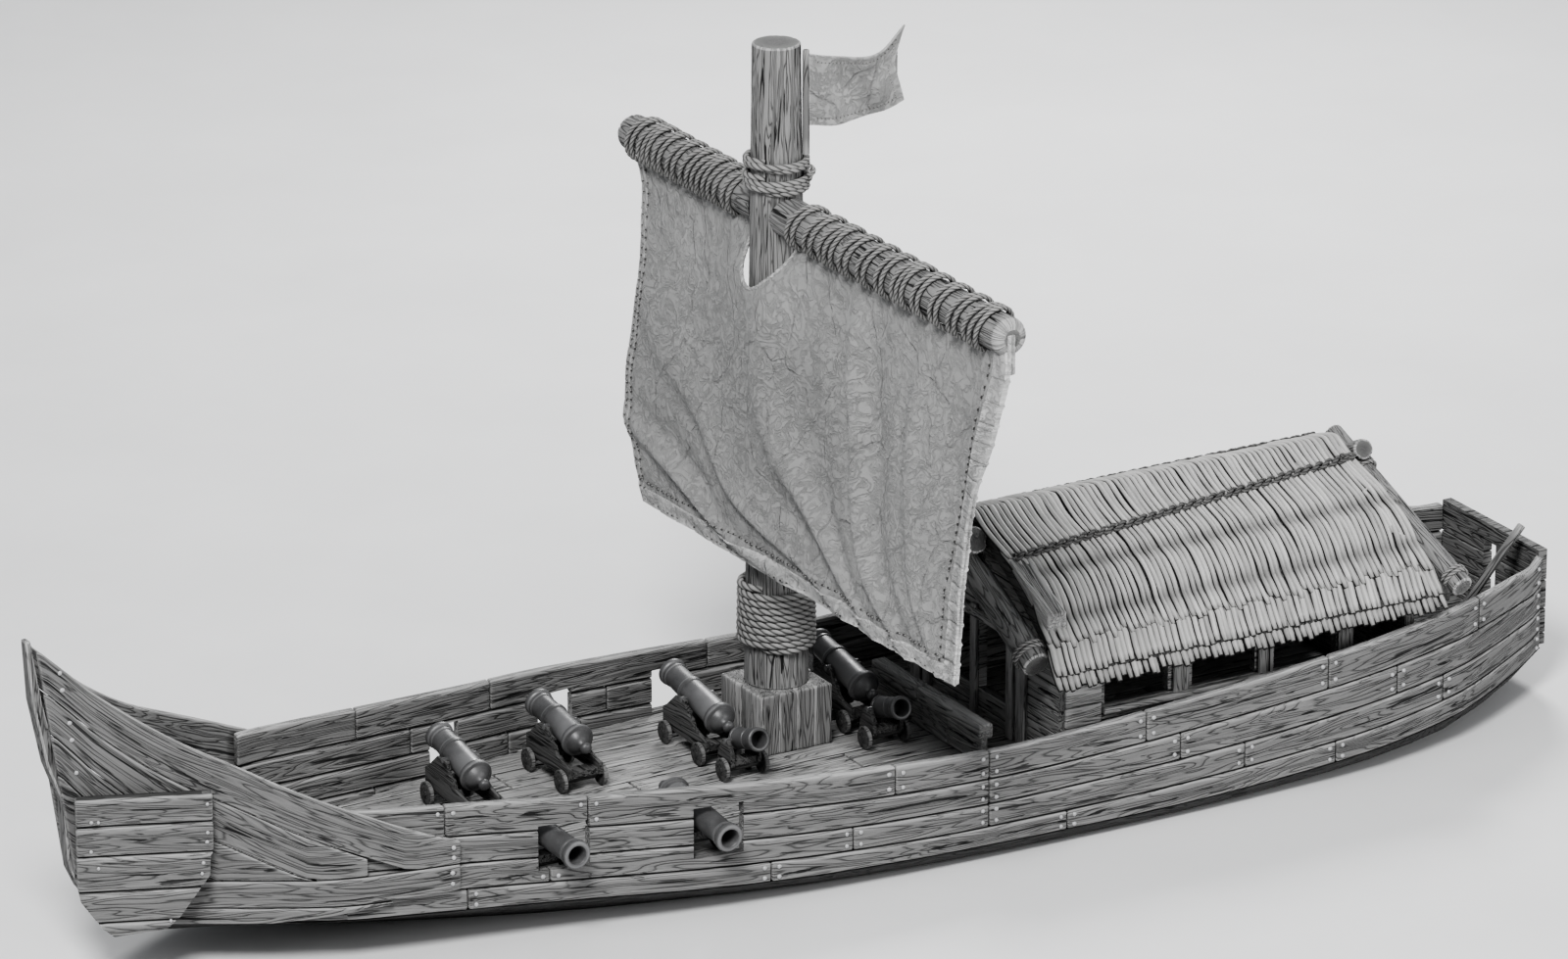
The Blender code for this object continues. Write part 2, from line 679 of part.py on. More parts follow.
def profile_yard(bm, start, end, sign):
    """One half of the yard: a round spar with a domed end and ribs of rope."""
    length = abs(end - start)
    turns = 11 if sign > 0 else 8
    first = 0.42
    pitch = (length - first - 0.22) / turns
    spar = YARD_SPAR_R
    loop_half = 0.04
    profile = [(0.0, YARD_R), (first - 0.05, YARD_R), (first - 0.04, spar)]
    for turn in range(turns):
        at = first + pitch * (turn + 0.5)
        profile += [(at - loop_half, YARD_LOOP_R), (at + loop_half, YARD_LOOP_R),
                    (at + pitch / 2, spar)]
    profile += [(length - 0.06, spar * 0.94), (length, spar * 0.5)]
    rings = []
    for along, radius in profile:
        ring = []
        for i in range(YARD_SIDES):
            a = 2 * math.pi * (i + 0.5) / YARD_SIDES
            ring.append(bm.verts.new((MAST_X + radius * math.cos(a), start + sign * along,
                                      YARD_Z + radius * math.sin(a))))
        rings.append(ring)
    for a, b in zip(rings, rings[1:]):
        for i in range(YARD_SIDES):
            j = (i + 1) % YARD_SIDES
            bm.faces.new((a[i], a[j], b[j], b[i]))
    bm.faces.new(rings[0])
    bm.faces.new(rings[-1])


def sail_ahead(y, t):
    """Distance of the sail's back face ahead of the mast's axis; t runs from the foot up."""
    left, right = between(SAIL_STARBOARD, t, 2), between(SAIL_PORT, t, 2)
    share = (y - left) / (right - left)
    edge = between(SAIL_STARBOARD, t, 1) * (1 - share) + between(SAIL_PORT, t, 1) * share
    near = math.exp(-((y - MAST_Y) / 0.85) ** 4)
    near *= min(1.0, 0.5 + (1.0 - t) * 2.5)
    return edge + (max(SAIL_BELLY, edge) - edge) * near


def make_sail(cloth):
    """The sail: one curved sheet below the yard, with the mouth that clears the mast."""
    columns, rows = 20, 9
    bm = bmesh.new()
    grids = []
    for skin in (0.0, SAIL_THICK):
        grid = []
        for i in range(columns + 1):
            column = []
            foot = SAIL_FOOT[0] + (SAIL_FOOT[1] - SAIL_FOOT[0]) * i / columns
            for j in range(rows + 1):
                t = j / rows
                left, right = between(SAIL_STARBOARD, t, 2), between(SAIL_PORT, t, 2)
                y = left + (right - left) * i / columns
                z = foot + (SAIL_TOP - foot) * t
                column.append(bm.verts.new((MAST_X + sail_ahead(y, t) + skin, y, z)))
            grid.append(column)
        grids.append(grid)
    back, front = grids
    for i in range(columns):
        for j in range(rows):
            bm.faces.new((back[i][j], back[i][j + 1], back[i + 1][j + 1], back[i + 1][j]))
            bm.faces.new((front[i][j], front[i + 1][j], front[i + 1][j + 1], front[i][j + 1]))
    rim = [(i, 0) for i in range(columns)] + [(columns, j) for j in range(rows)]
    rim += [(i, rows) for i in range(columns, 0, -1)] + [(0, j) for j in range(rows, 0, -1)]
    for (a, b), (c, d) in zip(rim, rim[1:] + rim[:1]):
        bm.faces.new((back[a][b], back[c][d], front[c][d], front[a][b]))
    sail = add_bmesh("sail", bm, cloth, smooth=True)
    tool = bmesh.new()
    rod_into(tool, (MAST_X - 1, 0, 0), (MAST_X + 1, 0, 0), 1.0, 24)
    mouth = Matrix.Diagonal((1.0, MOUTH_HALF, MOUTH_DEEP, 1.0))
    tool.transform(Matrix.Translation((0, MAST_Y, SAIL_TOP + 0.02)) @ mouth)
    cut(sail, add_bmesh("sail_mouth", tool, cloth))
    set_origin(sail, (MAST_X, MAST_Y, YARD_Z))


def roof_arc(inset, count=9):
    """The outline of the roof across the boat, from the starboard eave to the port one."""
    points = []
    for i in range(-count, count + 1):
        s = i / count
        y = s * (EAVE_HALF - inset * 0.6)
        z = EAVE_Z + (RIDGE_Z - EAVE_Z) * (1 - abs(s) ** 1.35) - inset
        points.append((y, z))
    return points


def make_cabin(wood, straw):
    """Cabin walls, posts, the rafters and the thatched roof."""
    base = DECK_Z + GAP
    wall_top = roof_under(CABIN_HALF) - GAP
    side_wall("cabin_wall_port", 1, base, wall_top, wood)
    side_wall("cabin_wall_starboard", -1, base, wall_top, wood)
    gable_wall("cabin_wall_front", CABIN_FRONT_X, FRONT_OPENINGS, base, wood)
    gable_wall("cabin_wall_rear", CABIN_REAR_X + CABIN_WALL, REAR_OPENINGS, base, wood)
    outline = roof_arc(0.0) + list(reversed(roof_arc(THATCH_THICK)))
    roof = prism("thatch_roof", outline, ROOF_REAR_X, ROOF_FRONT_X, straw, axis="X")
    lean_rear(roof)
    rafters("rafters_front", ROOF_FRONT_X, 1, FRONT_RAFTERS, wood)
    lean_rear(rafters("rafters_rear", ROOF_REAR_X, -1, REAR_RAFTERS, wood))


def lean_rear(obj):
    """Lean what lies behind the cabin's rear wall forward, in step with its height."""
    for vertex in obj.data.vertices:
        if vertex.co.x < CABIN_REAR_X:
            vertex.co.x += REAR_LEAN * (vertex.co.z - EAVE_Z)


def side_wall(name, sign, base, top, mat):
    """A side wall of the cabin, with the window openings between its posts."""
    y = sign * CABIN_HALF
    near, far = sorted((y, y - sign * CABIN_WALL))
    wall = box(name, (CABIN_REAR_X, near, base), (CABIN_FRONT_X, far, top), mat)
    for middle, half in CABIN_WINDOWS:
        cut(wall, box("side_window", (middle - half, y - CUT_PAST, WINDOW_LOW),
                      (middle + half, y + CUT_PAST, WINDOW_TOP), mat))


def gable_wall(name, x, holes, base, mat):
    """A cabin end wall that follows the roof, with the doorway or the rear hatch."""
    half = CABIN_HALF - CABIN_WALL - GAP
    arc = [(y, z - GAP) for y, z in roof_arc(THATCH_THICK) if abs(y) < half]
    edge_z = roof_under(half) - GAP
    outline = [(-half, base), (-half, edge_z)] + arc + [(half, edge_z), (half, base)]
    wall = prism(name, outline, x - CABIN_WALL, x, mat, axis="X")
    for near, far, low, top in holes:
        cut(wall, box("end_opening", (x - CUT_PAST, near, low), (x + CUT_PAST, far, top), mat))


def roof_under(y):
    """Height of the thatch's underside at a distance from the centreline."""
    points = roof_arc(THATCH_THICK)
    for (y0, z0), (y1, z1) in zip(points, points[1:]):
        if y0 <= y <= y1:
            return z0 + (z1 - z0) * (y - y0) / (y1 - y0)
    return points[-1][1]


def rafters(name, gable_x, side, sizes, mat):
    """A pair of crossed logs against one end of the roof, joined where they cross.

    side is +1 ahead of the roof and -1 behind it.
    """
    radius, foot_y, foot_z, top_z, past = sizes
    x = gable_x + side * (radius * math.cos(math.pi / RAFTER_SIDES) + GAP)
    slope = (top_z - foot_z) / foot_y
    bms = []
    for sign in (1, -1):
        bm = bmesh.new()
        rod_into(bm, (x, sign * foot_y, foot_z), (x, -sign * past, top_z + slope * past),
                 radius, sides=RAFTER_SIDES)
        bms.append(bm)
    return join_solids(name, bms, mat, smooth=True)


def gun_barrel(ahead, behind, breech_r, muzzle_r, bore_r, bore_deep):
    """Profile of a gun barrel from the trunnions: the muzzle first, the knob last."""
    neck = breech_r * 0.84
    return [(0.0, ahead - bore_deep), (bore_r, ahead - bore_deep), (bore_r, ahead),
            (muzzle_r, ahead - 0.01), (muzzle_r, ahead - 0.07),
            (muzzle_r * 0.90, ahead - 0.09), (neck, 0.12), (neck, -behind + 0.24),
            (breech_r, -behind + 0.23), (breech_r, -behind + 0.18),
            (breech_r * 0.74, -behind + 0.12), (breech_r * 0.28, -behind + 0.07),
            (breech_r * 0.36, -behind + 0.03), (0.0, -behind)]


def make_long_gun(tag, x, front_y, elevation, sign, ahead, behind, carriages, trucks, iron):
    """A gun on a stepped truck carriage that points to port (+1) or to starboard (-1)."""
    place = Matrix.Translation((x, front_y, DECK_Z)) @ Matrix.Rotation(math.pi / 2 * sign, 4, "Z")
    copy_of(carriages[sign], "gun_%s_carriage" % tag, place)
    for which, along in (("front", 0.0), ("rear", -WHEELBASE)):
        centre = Matrix.Translation((along, 0, TRUCK_R + GAP))
        copy_of(trucks, "gun_%s_trucks_%s" % (tag, which), place @ centre)
    profile = gun_barrel(ahead, behind, 0.155, 0.135, 0.08, 0.25)
    barrel = turned("gun_%s_barrel" % tag, profile, iron, steps=14, axis="X")
    add_trunnions(barrel, CHEEK_INNER + CHEEK_THICK, TRUNNION_R, iron)
    pivot = Matrix.Translation((-TRUNNION_BACK, 0, TRUNNION_Z[sign]))
    barrel.matrix_world = place @ pivot @ Matrix.Rotation(-math.radians(elevation), 4, "Y")


def copy_of(obj, name, place):
    """Another object with the same mesh, at its own place."""
    made = bpy.data.objects.new(name, obj.data)
    PARTS.objects.link(made)
    made.matrix_world = place
    return made


def add_trunnions(barrel, reach, radius, mat):
    """Join the two trunnions to a barrel, across its origin."""
    pins = bmesh.new()
    rod_into(pins, (0, -reach, 0), (0, reach, 0), radius, sides=12)
    unite(barrel, add_bmesh("pins", pins, mat))


def seat(x, z, radius, top):
    """Outline points of an open-topped round seat, from its forward lip to the after one."""
    points = [(x + radius, top)]
    for i in range(9):
        a = math.pi * i / 8
        points.append((x + radius * math.cos(a), z - radius * math.sin(a)))
    points.append((x - radius, top))
    return points


def cheeks_and_beams(name, cheek, inner, thick, beams, mat):
    """Two upright cheeks of one outline, united with the beams that cross between them."""
    bms = []
    for sign in (1, -1):
        bm = bmesh.new()
        near, far = sorted((sign * inner, sign * (inner + thick)))
        outline_into(bm, cheek, near, far, axis="Y")
        bms.append(bm)
    for start, end, low, high in beams:
        bm = bmesh.new()
        box_into(bm, (start, -inner - 0.01, low), (end, inner + 0.01, high))
        bms.append(bm)
    return join_solids(name, bms, mat)


def make_carriage(trunnion_z, mat):
    """A carriage: two stepped cheeks, joined by the beams over the axles."""
    low = TRUCK_R + AXLE_R + 0.001
    top = trunnion_z + 0.015
    rear = -WHEELBASE - CARRIAGE_PAST
    back = -TRUNNION_BACK
    cheek = [(CARRIAGE_PAST, low + 0.001), (CARRIAGE_PAST, top - 0.185), (0.02, top - 0.145),
             (back + 0.09, top)]
    cheek += seat(back, trunnion_z, TRUNNION_R + SEAT_GAP, top)
    cheek += [(back - 0.07, top), (back - 0.13, top - 0.115), (back - 0.20, top - 0.135),
              (back - 0.24, top - 0.21), (rear + 0.10, top - 0.25), (rear, top - 0.26),
              (rear, low + 0.001)]
    beams = [(-0.07, 0.07, low, FRONT_BEAM_TOP), (rear + 0.02, rear + 0.16, low, REAR_BEAM_TOP)]
    return cheeks_and_beams("carriage", cheek, CHEEK_INNER, CHEEK_THICK, beams, mat)


def make_trucks(mat):
    """Two trucks and their axle as one turned piece, with the axle along Y."""
    inner = TRUCK_TRACK / 2 - TRUCK_WIDE / 2
    outer = TRUCK_TRACK / 2 + TRUCK_WIDE / 2
    profile = [(0.0, outer), (TRUCK_R, outer), (TRUCK_R, inner), (AXLE_R, inner),
               (AXLE_R, -inner), (TRUCK_R, -inner), (TRUCK_R, -outer), (0.0, -outer)]
    return turned("trucks", profile, mat, steps=12, axis="Y")


def make_bed(mat):
    """The two-wheeled bed of a short gun: two cheeks on a beam, with feet at the rear."""
    low = TRUCK_R + AXLE_R + 0.001
    top = SHORT_TRUNNION_Z + 0.012
    back = -SHORT_TRUNNION_BACK
    cheek = [(0.07, low + 0.001), (0.07, 0.27), (0.0, top)]
    cheek += seat(back, SHORT_TRUNNION_Z, SHORT_PIN_R + SEAT_GAP, top)
    cheek += [(-0.09, top), (-0.17, 0.22), (-0.17, GAP), (-0.12, GAP), (-0.11, low + 0.001)]
    beams = [(-0.05, 0.05, low, REAR_BEAM_TOP)]
    return cheeks_and_beams("bed", cheek, SHORT_R + BED_CHEEK_CLEAR, BED_CHEEK_THICK, beams, mat)


def make_short_gun(tag, x, axle_y, bed, trucks, iron):
    """A short piece on a two-wheeled bed, which stands inboard and points to port."""
    place = Matrix.Translation((x, axle_y, DECK_Z)) @ Matrix.Rotation(math.pi / 2, 4, "Z")
    copy_of(bed, "gun_%s_carriage" % tag, place)
    copy_of(trucks, "gun_%s_trucks" % tag, place @ Matrix.Translation((0, 0, TRUCK_R + GAP)))
    profile = [(0.0, 0.36), (0.075, 0.36), (0.075, 0.37), (SHORT_R, 0.37), (SHORT_R, 0.31),
               (0.095, 0.29), (0.10, -0.04), (0.08, -0.09), (0.03, -0.11), (0.0, -0.11)]
    barrel = turned("gun_%s_barrel" % tag, profile, iron, steps=14, axis="X")
    add_trunnions(barrel, SHORT_R + BED_CHEEK_CLEAR + BED_CHEEK_THICK, SHORT_PIN_R, iron)
    pivot = Matrix.Translation((-SHORT_TRUNNION_BACK, 0, SHORT_TRUNNION_Z))
    turn = Matrix.Rotation(-math.radians(SHORT_ELEVATION), 4, "Y")
    barrel.matrix_world = place @ pivot @ turn


def make_bow_cheek(mat):
    """The heavy board on the port bow, with its cut-away lower corners."""
    bm = bmesh.new()
    outline_into(bm, BOW_CHEEK_OUTLINE, 0.0, BOW_CHEEK_THICK, axis="Y")
    start = Matrix.Translation((BOW_CHEEK_FRONT[0], BOW_CHEEK_FRONT[1], 0.0))
    turn = Matrix.Rotation(-math.radians(BOW_CHEEK_ANGLE), 4, "Z")
    bm.transform(start @ turn @ Matrix.Scale(-1, 4, (1, 0, 0)))
    return add_bmesh("bow_cheek", bm, mat)


def make_pole(mat):
    """The steering pole, hinged on a cross pin in a step on the deck before the transom."""
    along = Vector(POLE_HEAD) - Vector(POLE_FOOT)
    bms = []
    for start, end, radius in (((0, 0, 0), along, POLE_R), ((0, -0.10, 0), (0, 0.10, 0), PIN_R)):
        bm = bmesh.new()
        rod_into(bm, start, end, radius, sides=12)
        bms.append(bm)
    pole = join_solids("steering_pole", bms, mat, smooth=True)
    pole.location = POLE_FOOT
    pin_z = POLE_FOOT[2] - DECK_Z
    cheek = [(0.11, GAP), (0.09, pin_z + 0.02)] + seat(0.0, pin_z, PIN_R + SEAT_GAP, pin_z + 0.02)
    cheek += [(-0.09, pin_z + 0.02), (-0.11, GAP)]
    beams = [(-0.10, 0.10, 2 * GAP, 0.06)]
    step = cheeks_and_beams("pole_step", cheek, POLE_R + 0.006, 0.05, beams, mat)
    step.location = (POLE_FOOT[0], POLE_FOOT[1], DECK_Z)


def build():
    """Make the whole boat."""
    wood = material("weathered_wood", WOOD, 0.85)
    dark = material("carriage_wood", DARK_WOOD, 0.8)
    rope = material("hemp_rope", ROPE, 0.9)
    cloth = material("sail_cloth", CLOTH, 0.9)
    straw = material("thatch", STRAW, 0.95)
    iron = material("gun_iron", IRON, 0.45, 1.0)
    port = make_side("hull_side_port", 1, wood)
    starboard = make_side("hull_side_starboard", -1, wood)
    cut_gun_ports(port, 1, wood)
    cut_gun_ports(starboard, -1, wood)
    make_bottom(wood)
    make_transom(wood)
    make_deck(wood)
    make_bow_wing("bow_wing_port", 1, wood)
    make_bow_wing("bow_wing_starboard", -1, wood)
    make_stem(wood)
    make_bow_cheek(wood)
    make_mast(wood, rope)
    make_flag(wood, cloth)
    make_yard(wood, rope)
    make_sail(cloth)
    make_cabin(wood, straw)
    carriages = {sign: make_carriage(z, dark) for sign, z in TRUNNION_Z.items()}
    trucks, bed = make_trucks(dark), make_bed(dark)
    for tag, x, y, elevation, sign, ahead, behind in LONG_GUNS:
        make_long_gun(tag, x, y, elevation, sign, ahead, behind, carriages, trucks, iron)
    for tag, x, y in SHORT_GUNS:
        make_short_gun(tag, x, y, bed, trucks, iron)
    for pattern in (*carriages.values(), trucks, bed):
        bpy.data.objects.remove(pattern, do_unlink=True)
    make_pole(wood)


clear_scene()
PARTS = collection(NAME)
CUTTERS = collection("cutters")
build()
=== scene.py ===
"""Dresses the flat-bottomed sailing gunboat: planks, ropes, cloth, thatch and guns.

Everything is in metres: +X to the bow, +Y to port, +Z up. The file is laid out as an add-on
with an operator for each group of pieces, and main() calls them in order.
"""
import math
import random

import bmesh
import bpy
from bpy.props import FloatProperty, FloatVectorProperty, IntProperty, PointerProperty
from mathutils import Matrix, Vector, noise


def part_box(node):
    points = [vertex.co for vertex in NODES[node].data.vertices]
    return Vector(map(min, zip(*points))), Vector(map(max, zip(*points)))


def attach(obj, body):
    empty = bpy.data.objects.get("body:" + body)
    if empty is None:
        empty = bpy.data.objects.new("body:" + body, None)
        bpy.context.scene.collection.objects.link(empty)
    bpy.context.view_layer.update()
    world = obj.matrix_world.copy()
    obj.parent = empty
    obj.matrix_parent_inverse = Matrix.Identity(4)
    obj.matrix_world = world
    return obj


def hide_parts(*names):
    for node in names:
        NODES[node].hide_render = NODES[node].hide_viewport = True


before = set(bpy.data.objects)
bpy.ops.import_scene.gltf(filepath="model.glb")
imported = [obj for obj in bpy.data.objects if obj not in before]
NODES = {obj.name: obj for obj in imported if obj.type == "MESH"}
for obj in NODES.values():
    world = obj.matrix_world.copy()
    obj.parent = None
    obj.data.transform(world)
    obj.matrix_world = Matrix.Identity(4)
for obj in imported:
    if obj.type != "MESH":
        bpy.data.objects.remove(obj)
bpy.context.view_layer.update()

bl_info = {
    "name": "Sailing gunboat",
    "version": (1, 0, 0),
    "blender": (4, 5, 0),
    "location": "3D View > Sidebar > Gunboat",
    "description": "Dresses a flat-bottomed sailing gunboat with planks, ropes, cloth and guns",
    "category": "Object",
}

PORT = 1
STARBOARD = -1
SIDE_NAMES = {PORT: "port", STARBOARD: "starboard"}


class BoatSettings(bpy.types.PropertyGroup):
    """Sizes and colours that a user may want to change."""

    wood: FloatVectorProperty(name="Wood", description="Colour of the planks", subtype="COLOR",
                              default=(0.172, 0.171, 0.169), min=0.0, max=1.0)
    # Pale edges of the wood: rubbing, and on the planks also a painted highlight along the upper
    # edges.
    pale_edge: FloatVectorProperty(name="Worn edges", description="Colour of rubbed edges",
                              subtype="COLOR", default=(0.40, 0.398, 0.394), min=0.0, max=1.0)
    # The crack colour also paints the shade in the plank seams.
    crack: FloatVectorProperty(name="Cracks", description="Colour inside cracks and seams",
                               subtype="COLOR", default=(0.018, 0.018, 0.018), min=0.0, max=1.0)
    rope: FloatVectorProperty(name="Rope", description="Colour of the ropes", subtype="COLOR",
                              default=(0.24, 0.238, 0.234), min=0.0, max=1.0)
    cloth: FloatVectorProperty(name="Cloth", description="Colour of the sail and the flag",
                               subtype="COLOR", default=(0.29, 0.289, 0.286), min=0.0, max=1.0)
    reed: FloatVectorProperty(name="Reed", description="Colour of the thatch", subtype="COLOR",
                              default=(0.45, 0.446, 0.437), min=0.0, max=1.0)
    iron: FloatVectorProperty(name="Iron", description="Colour of the guns", subtype="COLOR",
                              default=(0.115, 0.115, 0.116), min=0.0, max=1.0)
    edge_round: FloatProperty(name="Plank edge", description="Radius of a plank's edges",
                              default=0.016, min=0.002, max=0.03, unit="LENGTH")
    seam: FloatProperty(name="Seam", description="Gap between two planks", default=0.011,
                        min=0.0, max=0.02, unit="LENGTH")
    nail: FloatProperty(name="Nail", description="Radius of a nail's head", default=0.022,
                        min=0.005, max=0.04, unit="LENGTH")
    reed_step: FloatProperty(name="Reed spacing", description="Distance between reeds",
                             default=0.060, min=0.02, max=0.1, unit="LENGTH")
    folds: FloatProperty(name="Sail folds", description="Depth of the folds in the sail",
                         default=0.110, min=0.0, max=0.15, unit="LENGTH")
    rope_sides: IntProperty(name="Rope sides", description="Points round a rope",
                            default=12, min=6, max=24, step=3)


def settings():
    """The scene's settings."""
    return bpy.context.scene.gunboat


# Meshes

BUTT_WEAR = 0.35            # how rubbed the ends of a plank are
END_GRAIN_WEAR = 0.3        # how pale the sawn ends of a log are
TURN = 2 * math.pi


def angles(count, shift=0.0):
    """Angles at even steps round a circle."""
    return [TURN * i / count + shift for i in range(count)]


def linked(name, data):
    """A new object in the scene."""
    obj = bpy.data.objects.new(name, data)
    bpy.context.scene.collection.objects.link(obj)
    return obj


class Solid:
    """A mesh being built from rings of points, with grain, rubbed edges and painted shading."""

    def __init__(self):
        self.points = []
        self.grain = []
        self.wear_and_shading = []
        self.faces = []

    def loft(self, rings, closed=True, caps=True):
        """Join rings of (point, grain, wear) with equal counts."""
        start = len(self.points)
        count = len(rings[0])
        for ring in rings:
            for point, grain, wear_and_shading in ring:
                self.points.append(tuple(point))
                self.grain.append(tuple(grain))
                self.wear_and_shading.append(wear_and_shading)
        last = count if closed else count - 1
        for k in range(len(rings) - 1):
            low = start + k * count
            for i in range(last):
                j = (i + 1) % count
                self.faces.append((low + i, low + j, low + count + j, low + count + i))
        if caps:
            self.faces.append(tuple(range(start + count - 1, start - 1, -1)))
            end = start + (len(rings) - 1) * count
            self.faces.append(tuple(range(end, end + count)))

    def object(self, name, mat, smooth_angle=50.0):
        """Turn it into an object."""
        mesh = bpy.data.meshes.new(name)
        mesh.from_pydata(self.points, [], self.faces)
        corners = [0] * len(mesh.loops)
        mesh.loops.foreach_get("vertex_index", corners)
        grain = mesh.attributes.new("grain", "FLOAT_VECTOR", "CORNER")
        grain.data.foreach_set("vector", [v for i in corners for v in self.grain[i]])
        # One value per corner: rubbed edges, and painted shade and highlight.
        wear_and_shading = mesh.attributes.new("wear_and_shading", "FLOAT", "CORNER")
        wear_and_shading.data.foreach_set("value", [self.wear_and_shading[i] for i in corners])
        mesh.materials.append(mat)
        face_out(mesh)
        mesh.shade_smooth()
        mesh.set_sharp_from_angle(angle=math.radians(smooth_angle))
        return linked(name, mesh)


def face_out(mesh):
    """Turn every face of a closed mesh outwards."""
    bm = bmesh.new()
    bm.from_mesh(mesh)
    bmesh.ops.recalc_face_normals(bm, faces=bm.faces)
    bm.to_mesh(mesh)
    bm.free()


def settle(obj, body, slot, *nodes):
    """Let a piece ride on its body and hide the nodes that it stands for."""
    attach(obj, body)
    if nodes:
        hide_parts(*nodes)
    return obj


def wobble(point, scale, seed=0.0):
    """Smooth noise from -1 to 1 at a point."""
    return noise.noise(Vector(point) * scale + Vector((seed, seed * 0.7, -seed)))


def spread(low, high, count):
    """Evenly spaced values."""
    return [low + (high - low) * i / count for i in range(count + 1)]


def add_plank(solid, place, s_range, t_range, across, thick, rng, edge=None, seam=None,
              hewn=0.004, step=0.12, open_top=False):
    """Add one plank to a solid.

    place(s, t, d) gives a point at depth d below the outer face; s runs along the plank and t
    across it, and across(s) is the length of one unit of t. Neighbours share their wavy seam,
    which is dark, with painted shade that is deeper along the first (t0) edge, the lower one on
    the sides. The rounded edges are paler, partly from rubbing and partly as a painted highlight
    that is stronger along the last (t1) edge. Without a seam the edges are rubbed instead, and
    so is the top with open_top.
    """
    look = settings()
    edge = look.edge_round if edge is None else edge
    half_seam = (look.seam if seam is None else seam) / 2
    # Painted shade in the seams, darker at the foot than at the top; without a seam, pale rubbed
    # edges.
    foot_wear_and_shade, top_wear_and_shade = (-1.0, -0.6) if half_seam else (1.0, 1.0)
    if open_top:
        top_wear_and_shade = 1.0
    s0, s1 = s_range[0] + half_seam, s_range[1] - half_seam
    count = max(3, int((s1 - s0) / step))
    offset = rng.uniform(0, 90)
    calm = 3.0 * edge
    stations = [s0, s0 + edge * 0.35, s0 + edge] + spread(s0 + calm, s1 - calm, count)
    stations += [s1 - edge, s1 - edge * 0.35, s1]
    last = len(stations) - 1
    rings = []
    for k, s in enumerate(stations):
        unit = max(across(s), 0.02)
        near = min(k, last - k)
        inset = (edge, edge * 0.3)[near] if near < 2 else 0.0
        bends = [wobble((s * 1.1, t * 31.0, 3.0), 1.0) * min(half_seam * 1.6, 0.004) / unit
                 for t in t_range]
        t0, t1 = t_range[0] + half_seam / unit, t_range[1] - half_seam / unit
        e = min(edge / unit, (t1 - t0) * 0.2)
        # The rings round each rounded edge are paler: rubbing, with a painted highlight that is
        # stronger on the t1 edge.
        outer = [(t0, edge, foot_wear_and_shade), (t0 + e * 0.4, edge * 0.25, 0.5), (t0 + e, 0.0, 0.4),
                 (t0 + 2.6 * e, 0.0, 0.1)]
        outer += [(t0 + (t1 - t0) * f, 0.0, 0.0) for f in (0.38, 0.62)]
        outer += [(t1 - 2.6 * e, 0.0, 0.1), (t1 - e, 0.0, 0.7), (t1 - e * 0.4, edge * 0.25, 1.0),
                  (t1, edge, top_wear_and_shade)]
        inner = [(t1, thick - edge, top_wear_and_shade), (t1 - e, thick, 0.9), (t1 - 2.6 * e, thick, 0.1),
                 ((t0 + t1) / 2, thick, 0.0), (t0 + 2.6 * e, thick, 0.1), (t0 + e, thick, 0.9),
                 (t0, thick - edge, foot_wear_and_shade)]
        middle = (t0 + t1) / 2
        ring = []
        for t, d, wear_and_shading in outer + inner:
            share = (t - t_range[0]) / (t_range[1] - t_range[0])
            bend = bends[0] + (bends[1] - bends[0]) * share
            narrow = 1 - 2 * inset / ((t1 - t0) * unit + 0.001)
            depth = thick / 2 + (d - thick / 2) * (1 - 2 * inset / thick)
            rough = wobble((s * 1.6, t * unit * 9, offset), 1.0) * 0.5 + 0.5
            depth += (0.0005 + rough * hewn) * (1 if d < thick / 2 else -1)
            point = place(s, middle + (t - middle) * narrow + bend, depth)
            ring.append((point, (s + offset, t * unit + offset, d),
                         max(wear_and_shading, BUTT_WEAR) if near < 2 else wear_and_shading))
        rings.append(ring)
    solid.loft(rings)


def add_box(solid, low, high, along, rng, edge=0.008, hewn=0.002):
    """Add a squared timber between two corners, with its grain along an axis (0, 1 or 2)."""
    low, high = Vector(low), Vector(high)
    a, b, c = along, (along + 1) % 3, (along + 2) % 3

    def place(s, t, d):
        point = Vector((0.0, 0.0, 0.0))
        point[a], point[b], point[c] = s, low[b] + t, high[c] - d
        return point

    add_plank(solid, place, (low[a], high[a]), (0.0, high[b] - low[b]), lambda s: 1.0,
              high[c] - low[c], rng, edge=edge, seam=0.0, hewn=hewn)


def close_ends(rings, start, end, shrink, grain):
    """Add a smaller ring inside both ends of a log; grain turns its grain across the cut."""
    for k, middle in ((0, start), (-1, end)):
        flat = [(middle + (Vector(p) - middle) * shrink, grain(g), END_GRAIN_WEAR)
                for p, g, _ in rings[k]]
        rings.insert(0 if k == 0 else len(rings), flat)


